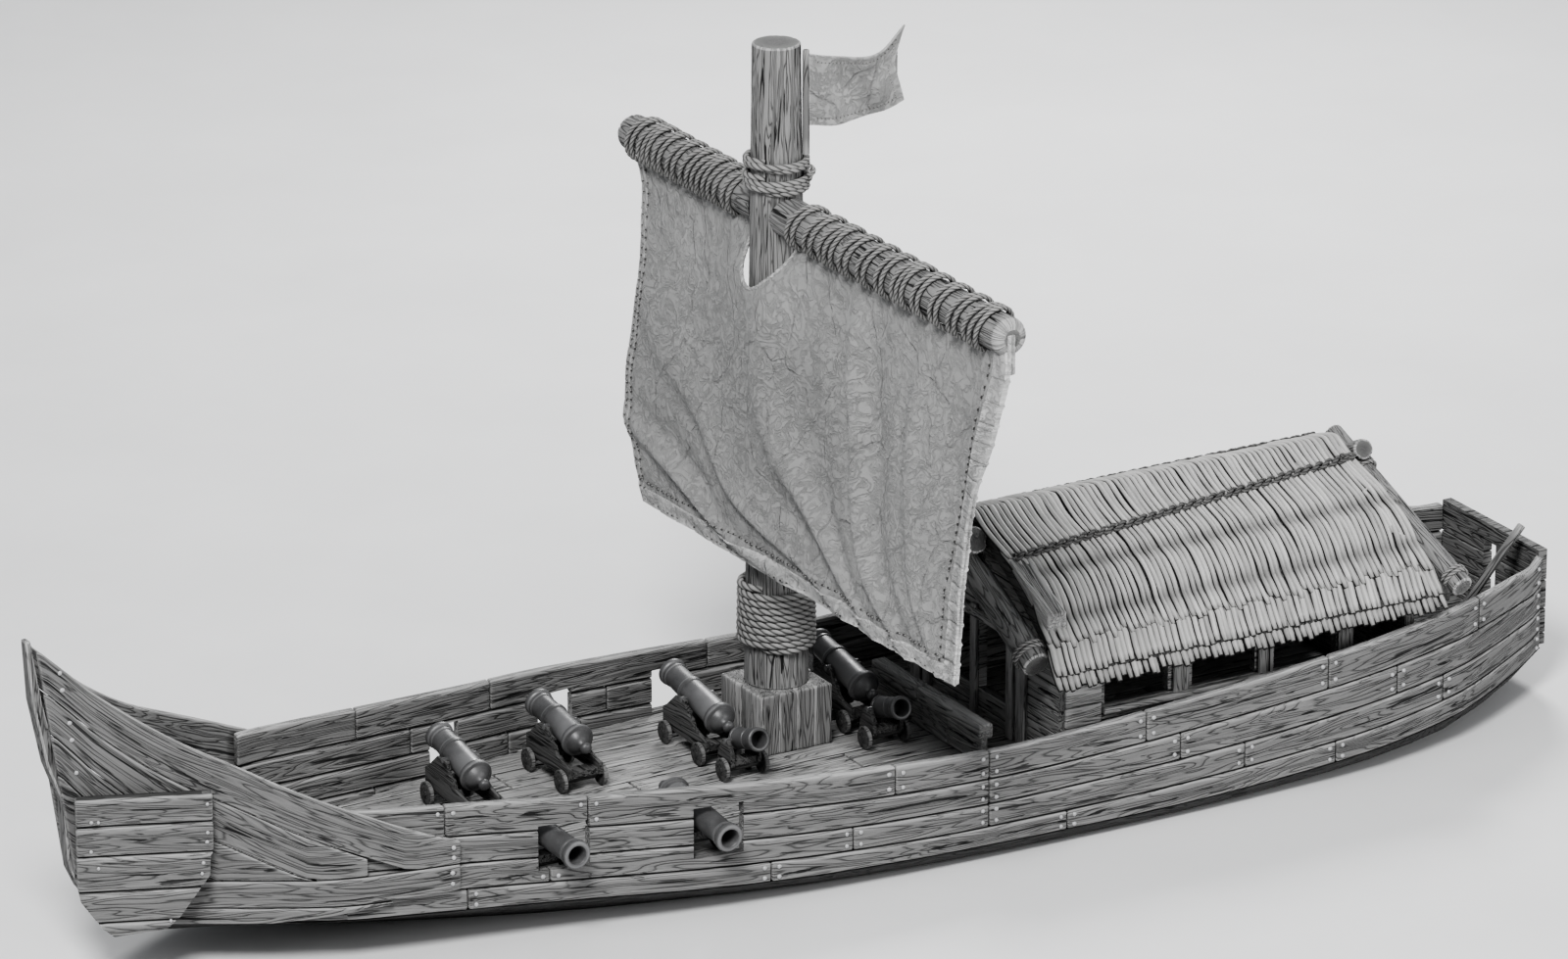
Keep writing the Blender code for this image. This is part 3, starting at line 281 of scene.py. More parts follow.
def add_log(solid, start, end, radius, end_radius, seed, sides=20, rough=0.006, round_end=0.02):
    """Add a round timber between two points, slightly uneven, with rounded rims."""
    start, end = Vector(start), Vector(end)
    along = end - start
    length = along.length
    turn = along.to_track_quat("Z", "Y")
    stations = [0.0, round_end * 0.3]
    stations += spread(round_end, length - round_end, max(4, int(length / 0.14)))
    stations += [length - round_end * 0.3, length]
    rings = []
    for s in stations:
        rim = min(s, length - s)
        shrink = round_end - math.sqrt(max(round_end ** 2 - (round_end - min(rim, round_end)) ** 2,
                                           0.0))
        base = radius + (end_radius - radius) * s / length - shrink
        ring = []
        for a in angles(sides):
            uneven = wobble((math.cos(a) * 1.3, math.sin(a) * 1.3, s * 1.2), 1.0, seed)
            r = base + uneven * rough - rough * 0.4
            point = start + turn @ Vector((r * math.cos(a), r * math.sin(a), s))
            wear_and_shading = 0.9 if rim < round_end * 1.01 else 0.0
            ring.append((point, (s + seed * 3, a * radius + seed, 0.0), wear_and_shading))
        rings.append(ring)
    close_ends(rings, start, end, 0.5, lambda g: (g[1] * 3, 9.0 + g[0], 0.4))
    solid.loft(rings)


def add_turned(solid, profile, place, sides=40, wear_at=()):
    """Add a turned solid from (radius, along) pairs; place maps the axis from +Z."""
    rings = []
    for k, (radius, along) in enumerate(profile):
        rings.append([(place @ Vector((radius * math.cos(a), radius * math.sin(a), along)),
                       (along, a * 0.1, radius), 1.0 if k in wear_at else 0.0)
                      for a in angles(sides)])
    solid.loft(rings)


def resampled(points, step, closed):
    """Points at even spacing along a line."""
    points = [Vector(p) for p in points] + ([Vector(points[0])] if closed else [])
    lengths = [(b - a).length for a, b in zip(points, points[1:])]
    total = sum(lengths)
    count = max(4, round(total / step))
    made = []
    index, passed = 0, 0.0
    for k in range(count if closed else count + 1):
        at = total * k / count
        while index < len(lengths) - 1 and passed + lengths[index] < at:
            passed += lengths[index]
            index += 1
        share = (at - passed) / max(lengths[index], 1e-9)
        made.append(points[index].lerp(points[index + 1], min(max(share, 0.0), 1.0)))
    return made, total


def add_rope(solid, path, radius, closed=False):
    """Add a three-strand rope along a list of points."""
    sides = settings().rope_sides
    points, total = resampled(path, radius * 0.42, closed)
    turns = max(1.0, total / (radius * 7.5))
    if closed:
        turns = round(turns * 3) / 3
    count = len(points)
    rings = []
    side = None
    for k, point in enumerate(points):
        if closed:
            ahead = (points[(k + 1) % count] - points[k - 1]).normalized()
        else:
            ahead = (points[min(k + 1, count - 1)] - points[max(k - 1, 0)]).normalized()
        if side is None:
            side = ahead.orthogonal().normalized()
        side = (side - ahead * side.dot(ahead)).normalized()
        other = ahead.cross(side)
        twist = TURN * turns * k / count
        ring = []
        for a in angles(sides):
            bulge = abs(math.cos(1.5 * a))
            r = radius * (0.76 + 0.24 * bulge)
            b = a + twist
            # bulge, the third value, also drives the painted shade between the strands.
            ring.append((point + side * (r * math.cos(b)) + other * (r * math.sin(b)),
                         (total * k / count, a * radius, 0.0), bulge))
        rings.append(ring)
    solid.loft(rings, caps=not closed)
    if closed:
        start = len(solid.points) - count * sides
        end = len(solid.points) - sides
        shift = sides // 3 * (round(turns * 3) % 3)
        for i in range(sides):
            j = (i + 1) % sides
            solid.faces.append((end + i, end + j, start + (j + shift) % sides,
                                start + (i + shift) % sides))


def add_nail(solid, point, out, radius, rng):
    """Add the domed head of a nail."""
    turn = Vector(out).to_track_quat("Z", "Y")
    squash = rng.uniform(0.85, 1.15)
    rings = []
    for share, height in ((1.0, -0.4), (1.06, 0.05), (0.86, 0.42), (0.45, 0.58)):
        ring = []
        for a in angles(8):
            r = radius * share
            spot = Vector((r * math.cos(a) * squash, r * math.sin(a), height * radius))
            ring.append((Vector(point) + turn @ spot, (a, share, 0), float(share < 0.9)))
        rings.append(ring)
    solid.loft(rings)


# Finishes

class Finish:
    """A node material being built."""

    def __init__(self, name, roughness, metallic=0.0):
        self.material = bpy.data.materials.new(name)
        self.material.use_nodes = True
        self.tree = self.material.node_tree
        self.shader = self.tree.nodes["Principled BSDF"]
        self.shader.inputs["Roughness"].default_value = roughness
        self.shader.inputs["Metallic"].default_value = metallic

    def node(self, kind, **values):
        """Add a node; values set or feed its inputs by name."""
        made = self.tree.nodes.new(kind)
        for key, value in values.items():
            socket = made.inputs[key.replace("_", " ")]
            self.feed(socket, value)
        return made

    def feed(self, socket, value):
        """Link an output to a socket, or set its value."""
        if isinstance(value, bpy.types.NodeSocket):
            self.tree.links.new(value, socket)
        else:
            socket.default_value = value

    def attribute(self, name, output="Vector"):
        """An attribute stored on the mesh."""
        made = self.tree.nodes.new("ShaderNodeAttribute")
        made.attribute_name = name
        return made.outputs[output]

    def place(self):
        """Coordinates in the object's own metres."""
        return self.tree.nodes.new("ShaderNodeTexCoord").outputs["Object"]

    def stretched(self, source, scale):
        """Coordinates multiplied by a vector."""
        mapping = self.node("ShaderNodeMapping", Vector=source, Scale=scale)
        return mapping.outputs["Vector"]

    def speckle(self, source, scale, detail=4.0, roughness=0.6, distortion=0.0):
        """Noise at stretched coordinates."""
        made = self.node("ShaderNodeTexNoise", Vector=self.stretched(source, scale), Scale=1.0,
                         Detail=detail, Roughness=roughness, Distortion=distortion)
        return made.outputs["Fac"]

    def steps(self, source, *stops):
        """A value through a colour ramp of (position, brightness) stops."""
        ramp = self.tree.nodes.new("ShaderNodeValToRGB")
        self.feed(ramp.inputs["Fac"], source)
        elements = ramp.color_ramp.elements
        while len(elements) < len(stops):
            elements.new(0.5)
        for element, (position, bright) in zip(elements, stops):
            element.position = position
            element.color = (bright, bright, bright, 1.0)
        return ramp.outputs["Color"]

    def mix(self, factor, first, second, blend="MIX"):
        """Two colours mixed."""
        made = self.tree.nodes.new("ShaderNodeMix")
        made.data_type = "RGBA"
        made.blend_type = blend
        self.feed(made.inputs[0], factor)
        for index, value in ((6, first), (7, second)):
            if isinstance(value, (tuple, list)) and len(value) == 3:
                value = (*value, 1.0)
            self.feed(made.inputs[index], value)
        return made.outputs[2]

    def sum(self, *terms):
        """A weighted sum of (value, weight) pairs."""
        total = None
        for value, weight in terms:
            scaled = self.math("MULTIPLY", value, weight)
            total = scaled if total is None else self.math("ADD", total, scaled)
        return total

    def math(self, operation, first, second):
        """One sum of two values."""
        made = self.tree.nodes.new("ShaderNodeMath")
        made.operation = operation
        self.feed(made.inputs[0], first)
        self.feed(made.inputs[1], second)
        return made.outputs[0]

    def colour(self, value):
        """Set what feeds the base colour."""
        self.feed(self.shader.inputs["Base Color"], value)

    def relief(self, height, distance):
        """Bump from a height."""
        bump = self.node("ShaderNodeBump", Height=height, Strength=1.0, Distance=distance)
        self.feed(self.shader.inputs["Normal"], bump.outputs["Normal"])


def rgb(colour, factor=1.0):
    """A colour property as a tuple, made lighter or darker."""
    return tuple(min(1.0, channel * factor) for channel in colour)


def weathered_wood(name, tone=1.0, grain=None):
    """Grey wood with long fibres, dark cracks, pale rubbed edges with some painted highlight
    and painted shade in the plank seams.

    grain is None where the mesh stores its own grain, or else the axis that it runs along.
    """
    look = settings()
    f = Finish(name, 0.82)
    if grain is None:
        source = f.attribute("grain")
    else:
        turn = {"X": (0.0, 0.0, 0.0), "Y": (0.0, 0.0, math.pi / 2)}
        mapping = f.node("ShaderNodeMapping", Vector=f.place(), Rotation=turn[grain])
        source = mapping.outputs["Vector"]
    fibre = f.speckle(source, (3.0, 80.0, 80.0), 5.0, 0.65, 0.2)
    swirl = f.speckle(source, (0.55, 6.5, 6.5), 2.0, 0.5, 0.4)
    ring = f.math("FRACT", f.math("MULTIPLY", swirl, 15.0), 0.0)
    carved = f.steps(ring, (0.0, 0.0), (0.14, 0.75), (0.5, 1.0), (0.86, 0.75), (1.0, 0.0))
    broad = f.speckle(source, (0.6, 3.0, 3.0), 3.0, 0.5)
    slit = f.speckle(source, (1.5, 24.0, 24.0), 3.0, 0.5, 0.9)
    crack = f.steps(slit, (0.355, 0.0), (0.385, 1.0))
    shade = f.steps(f.sum((fibre, 0.5), (broad, 0.5)), (0.34, 0.86), (0.66, 1.14))
    base = f.mix(1.0, rgb(look.wood, tone), f.steps(carved, (0.0, 0.42), (0.6, 0.95), (1.0, 1.12)),
                 "MULTIPLY")
    base = f.mix(1.0, base, shade, "MULTIPLY")
    base = f.mix(crack, rgb(look.crack, tone), base)
    wear_and_shading = f.attribute("wear_and_shading", "Fac")
    # Pale edges, partly rubbing and partly painted highlight, broken up by the fibres.
    patchy = f.math("MULTIPLY", wear_and_shading, f.steps(fibre, (0.38, 0.45), (0.6, 1.0)))
    base = f.mix(f.math("MAXIMUM", patchy, 0.0), base, rgb(look.pale_edge, min(tone, 1.25)))
    # Painted shade in the plank seams, where the stored value is below zero, in the crack colour.
    f.colour(f.mix(f.math("MAXIMUM", f.math("MULTIPLY", wear_and_shading, -1.0), 0.0), base,
                   rgb(look.crack, tone)))
    f.relief(f.sum((fibre, 0.14), (carved, 0.30), (crack, 0.40)), 0.042)
    return f.material


def gun_iron(name, tone=1.0):
    """Dark cast iron, dull, with a fine grain and paler rubbed rims."""
    look = settings()
    f = Finish(name, 0.46, 0.25)
    spot = f.place()
    fine = f.speckle(spot, (90.0, 90.0, 90.0), 5.0, 0.65)
    broad = f.speckle(spot, (6.0, 6.0, 6.0), 4.0, 0.6)
    shade = f.steps(f.sum((fine, 0.4), (broad, 0.6)), (0.35, 0.75), (0.65, 1.3))
    base = f.mix(1.0, rgb(look.iron, tone), shade, "MULTIPLY")
    wear_and_shading = f.math("MULTIPLY", f.attribute("wear_and_shading", "Fac"), 0.5)
    f.colour(f.mix(wear_and_shading, base, rgb(look.iron, tone * 2.6)))
    f.feed(f.shader.inputs["Roughness"], f.steps(broad, (0.3, 0.36), (0.7, 0.56)))
    f.relief(f.sum((fine, 0.6), (broad, 0.5)), 0.0015)
    return f.material


def hemp_rope(name, tone=1.0):
    """Twisted rope with fine fibres: pale strands, with painted shade between them."""
    look = settings()
    f = Finish(name, 0.9)
    source = f.attribute("grain")
    fibre = f.speckle(source, (60.0, 300.0, 60.0), 6.0, 0.7)
    broad = f.speckle(source, (5.0, 5.0, 5.0), 3.0, 0.5)
    # Painted shade: the grooves between the strands go dark, their crests pale.
    strand = f.steps(f.attribute("wear_and_shading", "Fac"), (0.05, 0.28), (0.7, 1.3))
    base = f.mix(1.0, rgb(look.rope, tone), strand, "MULTIPLY")
    shade = f.steps(f.sum((fibre, 0.5), (broad, 0.5)), (0.35, 0.7), (0.65, 1.2))
    f.colour(f.mix(1.0, base, shade, "MULTIPLY"))
    f.relief(fibre, 0.002)
    return f.material


def sail_cloth(name, tone=1.0):
    """Coarse canvas: a weave, small creases with painted shade along them, and faint stains."""
    look = settings()
    f = Finish(name, 0.92)
    f.shader.inputs["Sheen Weight"].default_value = 0.15
    source = f.attribute("grain")
    crinkle = f.speckle(source, (7.0, 7.0, 7.0), 5.0, 0.6, 1.6)
    fine = f.speckle(source, (52.0, 52.0, 52.0), 4.0, 0.7, 0.6)
    stain = f.speckle(source, (1.3, 1.3, 1.3), 5.0, 0.6, 0.3)
    bent = f.mix(0.22, f.stretched(source, (1.0, 0.55, 1.0)),
                 f.node("ShaderNodeTexNoise", Vector=source, Scale=1.7,
                        Detail=4.0).outputs["Color"])
    cells = f.node("ShaderNodeTexVoronoi", Vector=bent, Scale=2.1)
    cells.feature = "DISTANCE_TO_EDGE"
    line = f.steps(cells.outputs["Distance"], (0.003, 0.0), (0.016, 1.0))
    gap = f.steps(f.speckle(source, (6.0, 6.0, 6.0), 2.0), (0.46, 0.0), (0.56, 1.0))
    crease = f.math("MAXIMUM", line, gap)
    ridge = f.steps(crinkle, (0.43, 1.0), (0.5, 0.0), (0.57, 1.0))
    shade = f.steps(f.sum((stain, 0.5), (fine, 0.25), (crinkle, 0.25)), (0.35, 0.90), (0.65, 1.10))
    base = f.mix(1.0, rgb(look.cloth, tone), shade, "MULTIPLY")
    # Painted shade: darker along the crease lines.
    base = f.mix(1.0, base, f.steps(crease, (0.0, 0.84), (1.0, 1.0)), "MULTIPLY")
    wear_and_shading = f.math("MULTIPLY", f.attribute("wear_and_shading", "Fac"), 0.55)
    f.colour(f.mix(wear_and_shading, base, rgb(look.cloth, tone * 1.6)))
    f.relief(f.sum((ridge, 0.30), (fine, 0.12), (crease, 0.5)), 0.026)
    return f.material


def reed_straw(name, tone=1.0):
    """Dry reed, with painted shade: pale along the top of each stem, dark at its sides and root."""
    look = settings()
    f = Finish(name, 0.85)
    source = f.attribute("grain")
    fibre = f.speckle(source, (4.0, 160.0, 40.0), 6.0, 0.6)
    broad = f.speckle(source, (0.8, 1.6, 1.6), 3.0, 0.6)
    shade = f.steps(f.sum((fibre, 0.45), (broad, 0.55)), (0.3, 0.55), (0.7, 1.35))
    base = f.mix(1.0, rgb(look.reed, tone), shade, "MULTIPLY")
    # Painted shade from the stored value: dark on the sides of each stem, light on its top.
    top = f.steps(f.attribute("wear_and_shading", "Fac"), (0.42, 0.05), (0.95, 1.08))
    f.colour(f.mix(1.0, base, top, "MULTIPLY"))
    f.relief(fibre, 0.003)
    return f.material


FINISHES = {}


def finish(kind):
    """A finish by name, made once."""
    makers = {
        "planks": lambda: weathered_wood("weathered_planks"),
        "pale_wood": lambda: weathered_wood("pale_timber", 1.35),
        # The deck is a lighter copy of the planks: painted light against the shade that the sides
        # cast on it.
        "deck_wood": lambda: weathered_wood("deck_timber_painted_light", 1.8),
        "dark_reed": lambda: reed_straw("shaded_reed", 0.8),
        "nail": lambda: gun_iron("nail_iron", 2.1),
        "dark_wood": lambda: weathered_wood("carriage_timber", 0.55),
        # The bottom is a darker copy of the wood.
        "bottom": lambda: weathered_wood("darkened_bottom", 0.35, grain="X"),
        "iron": lambda: gun_iron("cast_iron"),
        # The cabin is a much lighter copy of the planks: painted light against the shade under the
        # roof.
        "cabin_wood": lambda: weathered_wood("cabin_timber_painted_light", 2.3),
        "rope": lambda: hemp_rope("twisted_rope"),
        "dark_rope": lambda: hemp_rope("tarred_rope", 0.45),
        "cloth": lambda: sail_cloth("sail_canvas"),
        "hem": lambda: sail_cloth("hem_canvas", 1.28),
        "reed": lambda: reed_straw("dry_reed"),
        "under_thatch": lambda: weathered_wood("packed_straw", 0.5, grain="Y"),
    }
    if kind not in FINISHES:
        FINISHES[kind] = makers[kind]()
    return FINISHES[kind]


# Shapes of the hull, the sail and the roof, as in the solids

STATIONS = [
    (-7.63, 0.800, 1.39, 0.45), (-7.37, 0.98, 1.31, 0.41), (-7.10, 1.12, 1.32, 0.37),
    (-6.60, 1.385, 1.35, 0.33), (-6.10, 1.60, 1.36, 0.29), (-5.10, 1.81, 1.32, 0.23),
    (-4.10, 1.84, 1.23, 0.17), (-3.10, 1.85, 1.16, 0.14), (-2.10, 1.85, 1.10, 0.14),
    (-1.10, 1.84, 1.07, 0.15), (-0.10, 1.82, 1.10, 0.17), (0.90, 1.76, 1.16, 0.20),
    (1.90, 1.65, 1.23, 0.25), (2.90, 1.48, 1.29, 0.31), (3.90, 1.31, 1.37, 0.37),
    (4.60, 1.20, 1.42, 0.41), (5.20, 1.08, 1.46, 0.439), (5.80, 0.76, 1.50, 0.439),
    (6.40, 0.42, 1.54, 0.439), (6.80, 0.19, 1.60, 0.439),
]
WING_EDGE = [(4.15, 1.25, 1.07), (4.52, 1.213, 1.20), (5.11, 1.11, 1.47), (5.60, 0.96, 1.71),
             (6.10, 0.68, 1.98), (6.40, 0.525, 2.14), (6.70, 0.37, 2.33), (7.06, 0.19, 2.60),
             (7.31, 0.11, 2.82), (7.47, 0.082, 3.00), (7.63, 0.0753, 3.12)]
SIDE_START_X, SIDE_END_X, SHELL_END_X = -7.53, 5.20, 6.80
WING_START_X, WING_END_X, WING_TOP_X = 4.19, 7.325, 7.63
WING_THICK = 0.054
SIDE_THICK = 0.09
DECK_Z = 0.50
PORTS = {
    PORT: [(3.225, 0.47, 0.65, 1.08), (1.805, 0.47, 0.56, 1.04)],
    STARBOARD: [(2.93, 0.32, 0.56, 0.97), (1.68, 0.38, 0.52, 0.97), (0.42, 0.38, 0.52, 0.93),
                (-0.93, 0.42, 0.51, 0.90)],
}
SAIL_STARBOARD = [(0.0, 0.40, -2.36), (0.27, 0.40, -2.69), (0.40, 0.40, -2.67),
                  (0.60, 0.37, -2.56), (0.78, 0.30, -2.54), (0.90, 0.17, -2.80),
                  (1.0, 0.02, -3.12)]
SAIL_PORT = [(0.0, 0.40, 3.18), (0.22, 0.35, 3.12), (0.38, 0.30, 3.15), (0.55, 0.25, 3.23),
             (0.72, 0.22, 3.40), (0.90, 0.12, 3.46), (1.0, 0.02, 3.42)]
SAIL_FOOT = (2.34, 2.40)
SAIL_TOP = 5.343
SAIL_BELLY = 0.345
MOUTH = [                  # y and the distance below the sail's head, round the mouth
    (-0.92, -0.20), (-0.90, 0.0), (-0.875, 0.12), (-0.82, 0.25), (-0.75, 0.34), (-0.66, 0.395),
    (-0.56, 0.415), (-0.45, 0.40), (-0.34, 0.345), (-0.24, 0.25), (-0.17, 0.13), (-0.13, 0.0),
    (-0.11, -0.20),
]
MAST_X, MAST_Y = -0.10, -0.63
MAST_BASE_Z, MAST_HEAD_Z = 1.08, 7.15
MAST_BASE_R, MAST_HEAD_R = 0.30, 0.222
YARD_Z = 5.58
ROOF = {"eave": (1.66, 1.56), "ridge": 2.56, "front": -1.78, "rear": -5.95, "lean": 0.18,
        "curve": 1.35}
CABIN = {"rear": -5.75, "half": 1.36}
ON_DECK = DECK_Z + 0.002     # where boards and posts stand on the deck


def between(table, x, column):
    """Read a smooth value from a table of rows, by X, with a cubic through the rows."""
    if x <= table[0][0]:
        return table[0][column]
    if x >= table[-1][0]:
        return table[-1][column]
    i = min(max(k for k in range(len(table)) if table[k][0] <= x), len(table) - 2)
    span = table[i + 1][0] - table[i][0]
    t = (x - table[i][0]) / span

    def slope(k):
        low, high = table[max(k - 1, 0)], table[min(k + 1, len(table) - 1)]
        return (high[column] - low[column]) / (high[0] - low[0])

    m0, m1 = slope(i) * span, slope(i + 1) * span
    p0, p1 = table[i][column], table[i + 1][column]
    return ((2 * t ** 3 - 3 * t ** 2 + 1) * p0 + (t ** 3 - 2 * t ** 2 + t) * m0
            + (3 * t ** 2 - 2 * t ** 3) * p1 + (t ** 3 - t ** 2) * m1)


def side_slant(x):
    """How much further a side plank's thickness reaches across the boat."""
    return math.hypot((between(STATIONS, x + 0.01, 1) - between(STATIONS, x - 0.01, 1)) / 0.02,
                      1.0)


def side_point(x, t, depth, sign):
    """A point of a side; t runs from its foot to the gunwale."""
    foot = min(between(STATIONS, x, 3), 0.439)
    z = foot + (between(STATIONS, x, 2) - foot) * t
    return Vector((x, sign * (between(STATIONS, x, 1) - depth * side_slant(x)), z))


def side_height(x):
    """Height of a side."""
    return between(STATIONS, x, 2) - min(between(STATIONS, x, 3), 0.439)


def wing_foot(x):
    """Half breadth of the inner face and height of the lower edge of the bow planks."""
    if x < SIDE_END_X:
        return between(STATIONS, x, 1) + 0.0006, (min(between(STATIONS, x, 3), 0.439)
                                                  + 0.14 * (SIDE_END_X + 0.6 - x))
    rise = max(0.0, (x - SHELL_END_X) / (WING_END_X - SHELL_END_X))
    inside = between(STATIONS, min(x, SHELL_END_X), 1) + 0.0006
    inside += (WING_EDGE[-1][1] - inside) * rise
    ease = max(0.0, 1.0 - (x - SIDE_END_X) / 0.6)
    return inside, 0.4393 + 0.084 * ease + 0.541 * rise


def wing_point(x, t, depth, sign):
    """A point of the bow planks; t runs from their lower to their upper edge."""
    rake = (WING_TOP_X - SHELL_END_X) / (WING_END_X - SHELL_END_X)
    over = x if x < SHELL_END_X else SHELL_END_X + (x - SHELL_END_X) * rake
    low, foot = wing_foot(x)
    top, high = between(WING_EDGE, over, 2), between(WING_EDGE, over, 1)
    if x < SIDE_END_X:
        high = max(high, low)
    slant = math.hypot((low - wing_foot(x + 0.02)[0]) / 0.02, 1.0)
    out = (WING_THICK - depth) * slant
    return Vector((x + (over - x) * t, sign * (low + (high - low) * t + out),
                   foot + (top - foot) * t))


def mast_radius(z):
    """Radius of the tapered mast at a height."""
    t = (z - MAST_BASE_Z) / (MAST_HEAD_Z - MAST_BASE_Z)
    return MAST_BASE_R + (MAST_HEAD_R - MAST_BASE_R) * t


def roof_point(x, s, lift=0.0):
    """A point of the roof's outer face; s runs from -1 at the starboard eave to 1 at port."""
    half, eave = ROOF["eave"]
    rise, curve = ROOF["ridge"] - eave, ROOF["curve"]
    z = eave + rise * (1 - abs(s) ** curve)
    slope = -rise * curve * abs(s) ** (curve - 1) / half * (1 if s >= 0 else -1)
    out = Vector((0.0, -slope, 1.0)).normalized()
    point = Vector((x, s * half, z)) + out * lift
    if x < CABIN["rear"]:
        point.x += ROOF["lean"] * (z - eave)
    return point


def sail_edges(t):
    """Y of the sail's starboard and port edges."""
    return between(SAIL_STARBOARD, t, 2), between(SAIL_PORT, t, 2)


def sail_foot(y_share):
    """Height of the sail's foot."""
    return SAIL_FOOT[0] + (SAIL_FOOT[1] - SAIL_FOOT[0]) * y_share


def sail_point(y_share, t, lift=0.0):
    """A point of the sail's after face; y_share runs to port and t from the foot to the top."""
    left, right = sail_edges(t)
    y = left + (right - left) * y_share
    edge = (between(SAIL_STARBOARD, t, 1) * (1 - y_share)
            + between(SAIL_PORT, t, 1) * y_share)
    near = math.exp(-((y - MAST_Y) / 0.85) ** 4) * min(1.0, 0.5 + (1.0 - t) * 2.5)
    foot = sail_foot(y_share)
    ahead = edge + (max(SAIL_BELLY, edge) - edge) * near + lift
    return Vector((MAST_X + ahead, y, foot + (SAIL_TOP - foot) * t))


# Cutting and working from the solids

def evaluated(obj):
    """Apply an object's modifiers to its mesh."""
    graph = bpy.context.evaluated_depsgraph_get()
    mesh = bpy.data.meshes.new_from_object(obj.evaluated_get(graph),
                                           preserve_all_data_layers=True, depsgraph=graph)
    obj.modifiers.clear()
    obj.data = mesh


def carve(obj, tool, operation="DIFFERENCE"):
    """Cut an object with another one, which is then removed."""
    mod = obj.modifiers.new("carve", "BOOLEAN")
    mod.object = tool
    mod.operation = operation
    mod.solver = "EXACT"
    evaluated(obj)
    bpy.data.objects.remove(tool, do_unlink=True)
    obj.data.set_sharp_from_angle(angle=math.radians(50.0))


def node_mesh(node):
    """A clean copy of a node's mesh."""
    bm = bmesh.new()
    bm.from_mesh(NODES[node].data)
    bmesh.ops.remove_doubles(bm, verts=bm.verts, dist=1e-5)
    bmesh.ops.dissolve_limit(bm, angle_limit=math.radians(1.0), verts=bm.verts, edges=bm.edges)
    return bm


def with_grain(bm, name, mat, along, pale_edge=(), offset=0.0):
    """An object whose grain runs along an axis, with wear on some faces."""
    grain = bm.loops.layers.float_vector.new("grain")
    wear_and_shading = bm.loops.layers.float.new("wear_and_shading")
    for face in bm.faces:
        for loop in face.loops:
            p = loop.vert.co
            across = abs(face.normal[along]) > 0.8
            loop[grain] = (p[along] * (9.0 if across else 1.0) + offset,
                           p[(along + 1) % 3] + offset, p[(along + 2) % 3])
            loop[wear_and_shading] = 1.0 if face in pale_edge else 0.0
    mesh = bpy.data.meshes.new(name)
    bm.to_mesh(mesh)
    bm.free()
    mesh.materials.append(mat)
    mesh.shade_smooth()
    mesh.set_sharp_from_angle(angle=math.radians(38.0))
    return linked(name, mesh)


def solid_copy(node):
    """A node's shape as a tool to cut with."""
    return with_grain(node_mesh(node), node + "_shape", finish("planks"), 0)


def hewn(name, node, mat, along, bevel=0.012, offset=0.0):
    """A piece worked from a node's shape, with its edges rounded and rubbed."""
    bm = node_mesh(node)
    edges = [e for e in bm.edges if e.is_manifold and e.calc_face_angle(0.0) > math.radians(24)]
    made = bmesh.ops.bevel(bm, geom=edges, offset=bevel, segments=2, affect="EDGES",
                           profile=0.6, clamp_overlap=True)
    return with_grain(bm, name, mat, along, set(made["faces"]), offset)


def stacked(name, node, mat, run, across, seams, rng, edge=0.007, cuts=(), hewn_by=0.003,
            seam=None):
    """A node's shape made of boards that run along one axis and lie side by side on another.

    seams are the boards' edges on the second axis; cuts are the joints along the first.
    """
    low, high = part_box(node)
    face = 3 - run - across
    solid = Solid()

    def place(s, t, d):
        point = Vector((0.0, 0.0, 0.0))
        point[run], point[across], point[face] = s, t, high[face] - d
        return point

    for i in range(len(seams) - 1):
        ends = [low[run] - 0.1] + [c for c, row in cuts if row == i] + [high[run] + 0.1]
        for start, end in zip(ends, ends[1:]):
            add_plank(solid, place, (start, end), (seams[i], seams[i + 1]), lambda s: 1.0,
                      high[face] - low[face], rng, edge=edge, seam=seam, hewn=hewn_by, step=0.2)
    piece = solid.object(name, mat)
    carve(piece, solid_copy(node), "INTERSECT")
    return piece


# Hull

SEAMS = [0.0, 0.20, 0.44, 0.70, 1.0]
JOINTS_ALONG = {
    PORT: {3: [-6.4, -4.5, -2.53, -0.88, 0.08, 3.0, 4.3], 2: [-5.3, -2.9, -0.88, 2.0],
           1: [-5.9, -3.6, -0.88, 0.5, 3.35], 0: [-4.6, -1.7, 1.3, 4.1]},
    STARBOARD: {3: [-5.9, -3.7, -1.9, 0.0, 2.4, 3.9], 2: [-4.9, -2.2, 1.1, 3.3],
                1: [-6.1, -3.1, -0.2, 2.2], 0: [-5.0, -2.5, 0.7, 3.7]},
}


class GUNBOAT_OT_sides(bpy.types.Operator):
    """Plank both sides of the hull, with their gun ports"""

    bl_idname = "gunboat.sides"
    bl_label = "Side planks"

    def execute(self, context):
        for sign, side in SIDE_NAMES.items():
            rng = random.Random(11 + sign)
            solid = Solid()
            for row in range(4):
                ends = [SIDE_START_X] + JOINTS_ALONG[sign][row] + [SIDE_END_X]
                for start, end in zip(ends, ends[1:]):
                    add_plank(solid, lambda s, t, d: side_point(s, t, d, sign), (start, end),
                              (SEAMS[row], SEAMS[row + 1]), side_height, SIDE_THICK, rng,
                              open_top=row == 3)
            piece = solid.object("side_planks_" + side, finish("planks"))
            tool = Solid()
            for x, wide, low, high in PORTS[sign]:
                y = sign * between(STATIONS, x, 1)
                add_box(tool, (x - wide / 2, y - 0.3, low), (x + wide / 2, y + 0.3, high), 0,
                        rng, edge=0.002, hewn=0.001)
            carve(piece, tool.object("ports", finish("planks")))
            settle(piece, "hull", "weathered_wood", "hull_side_" + side)
        return {"FINISHED"}


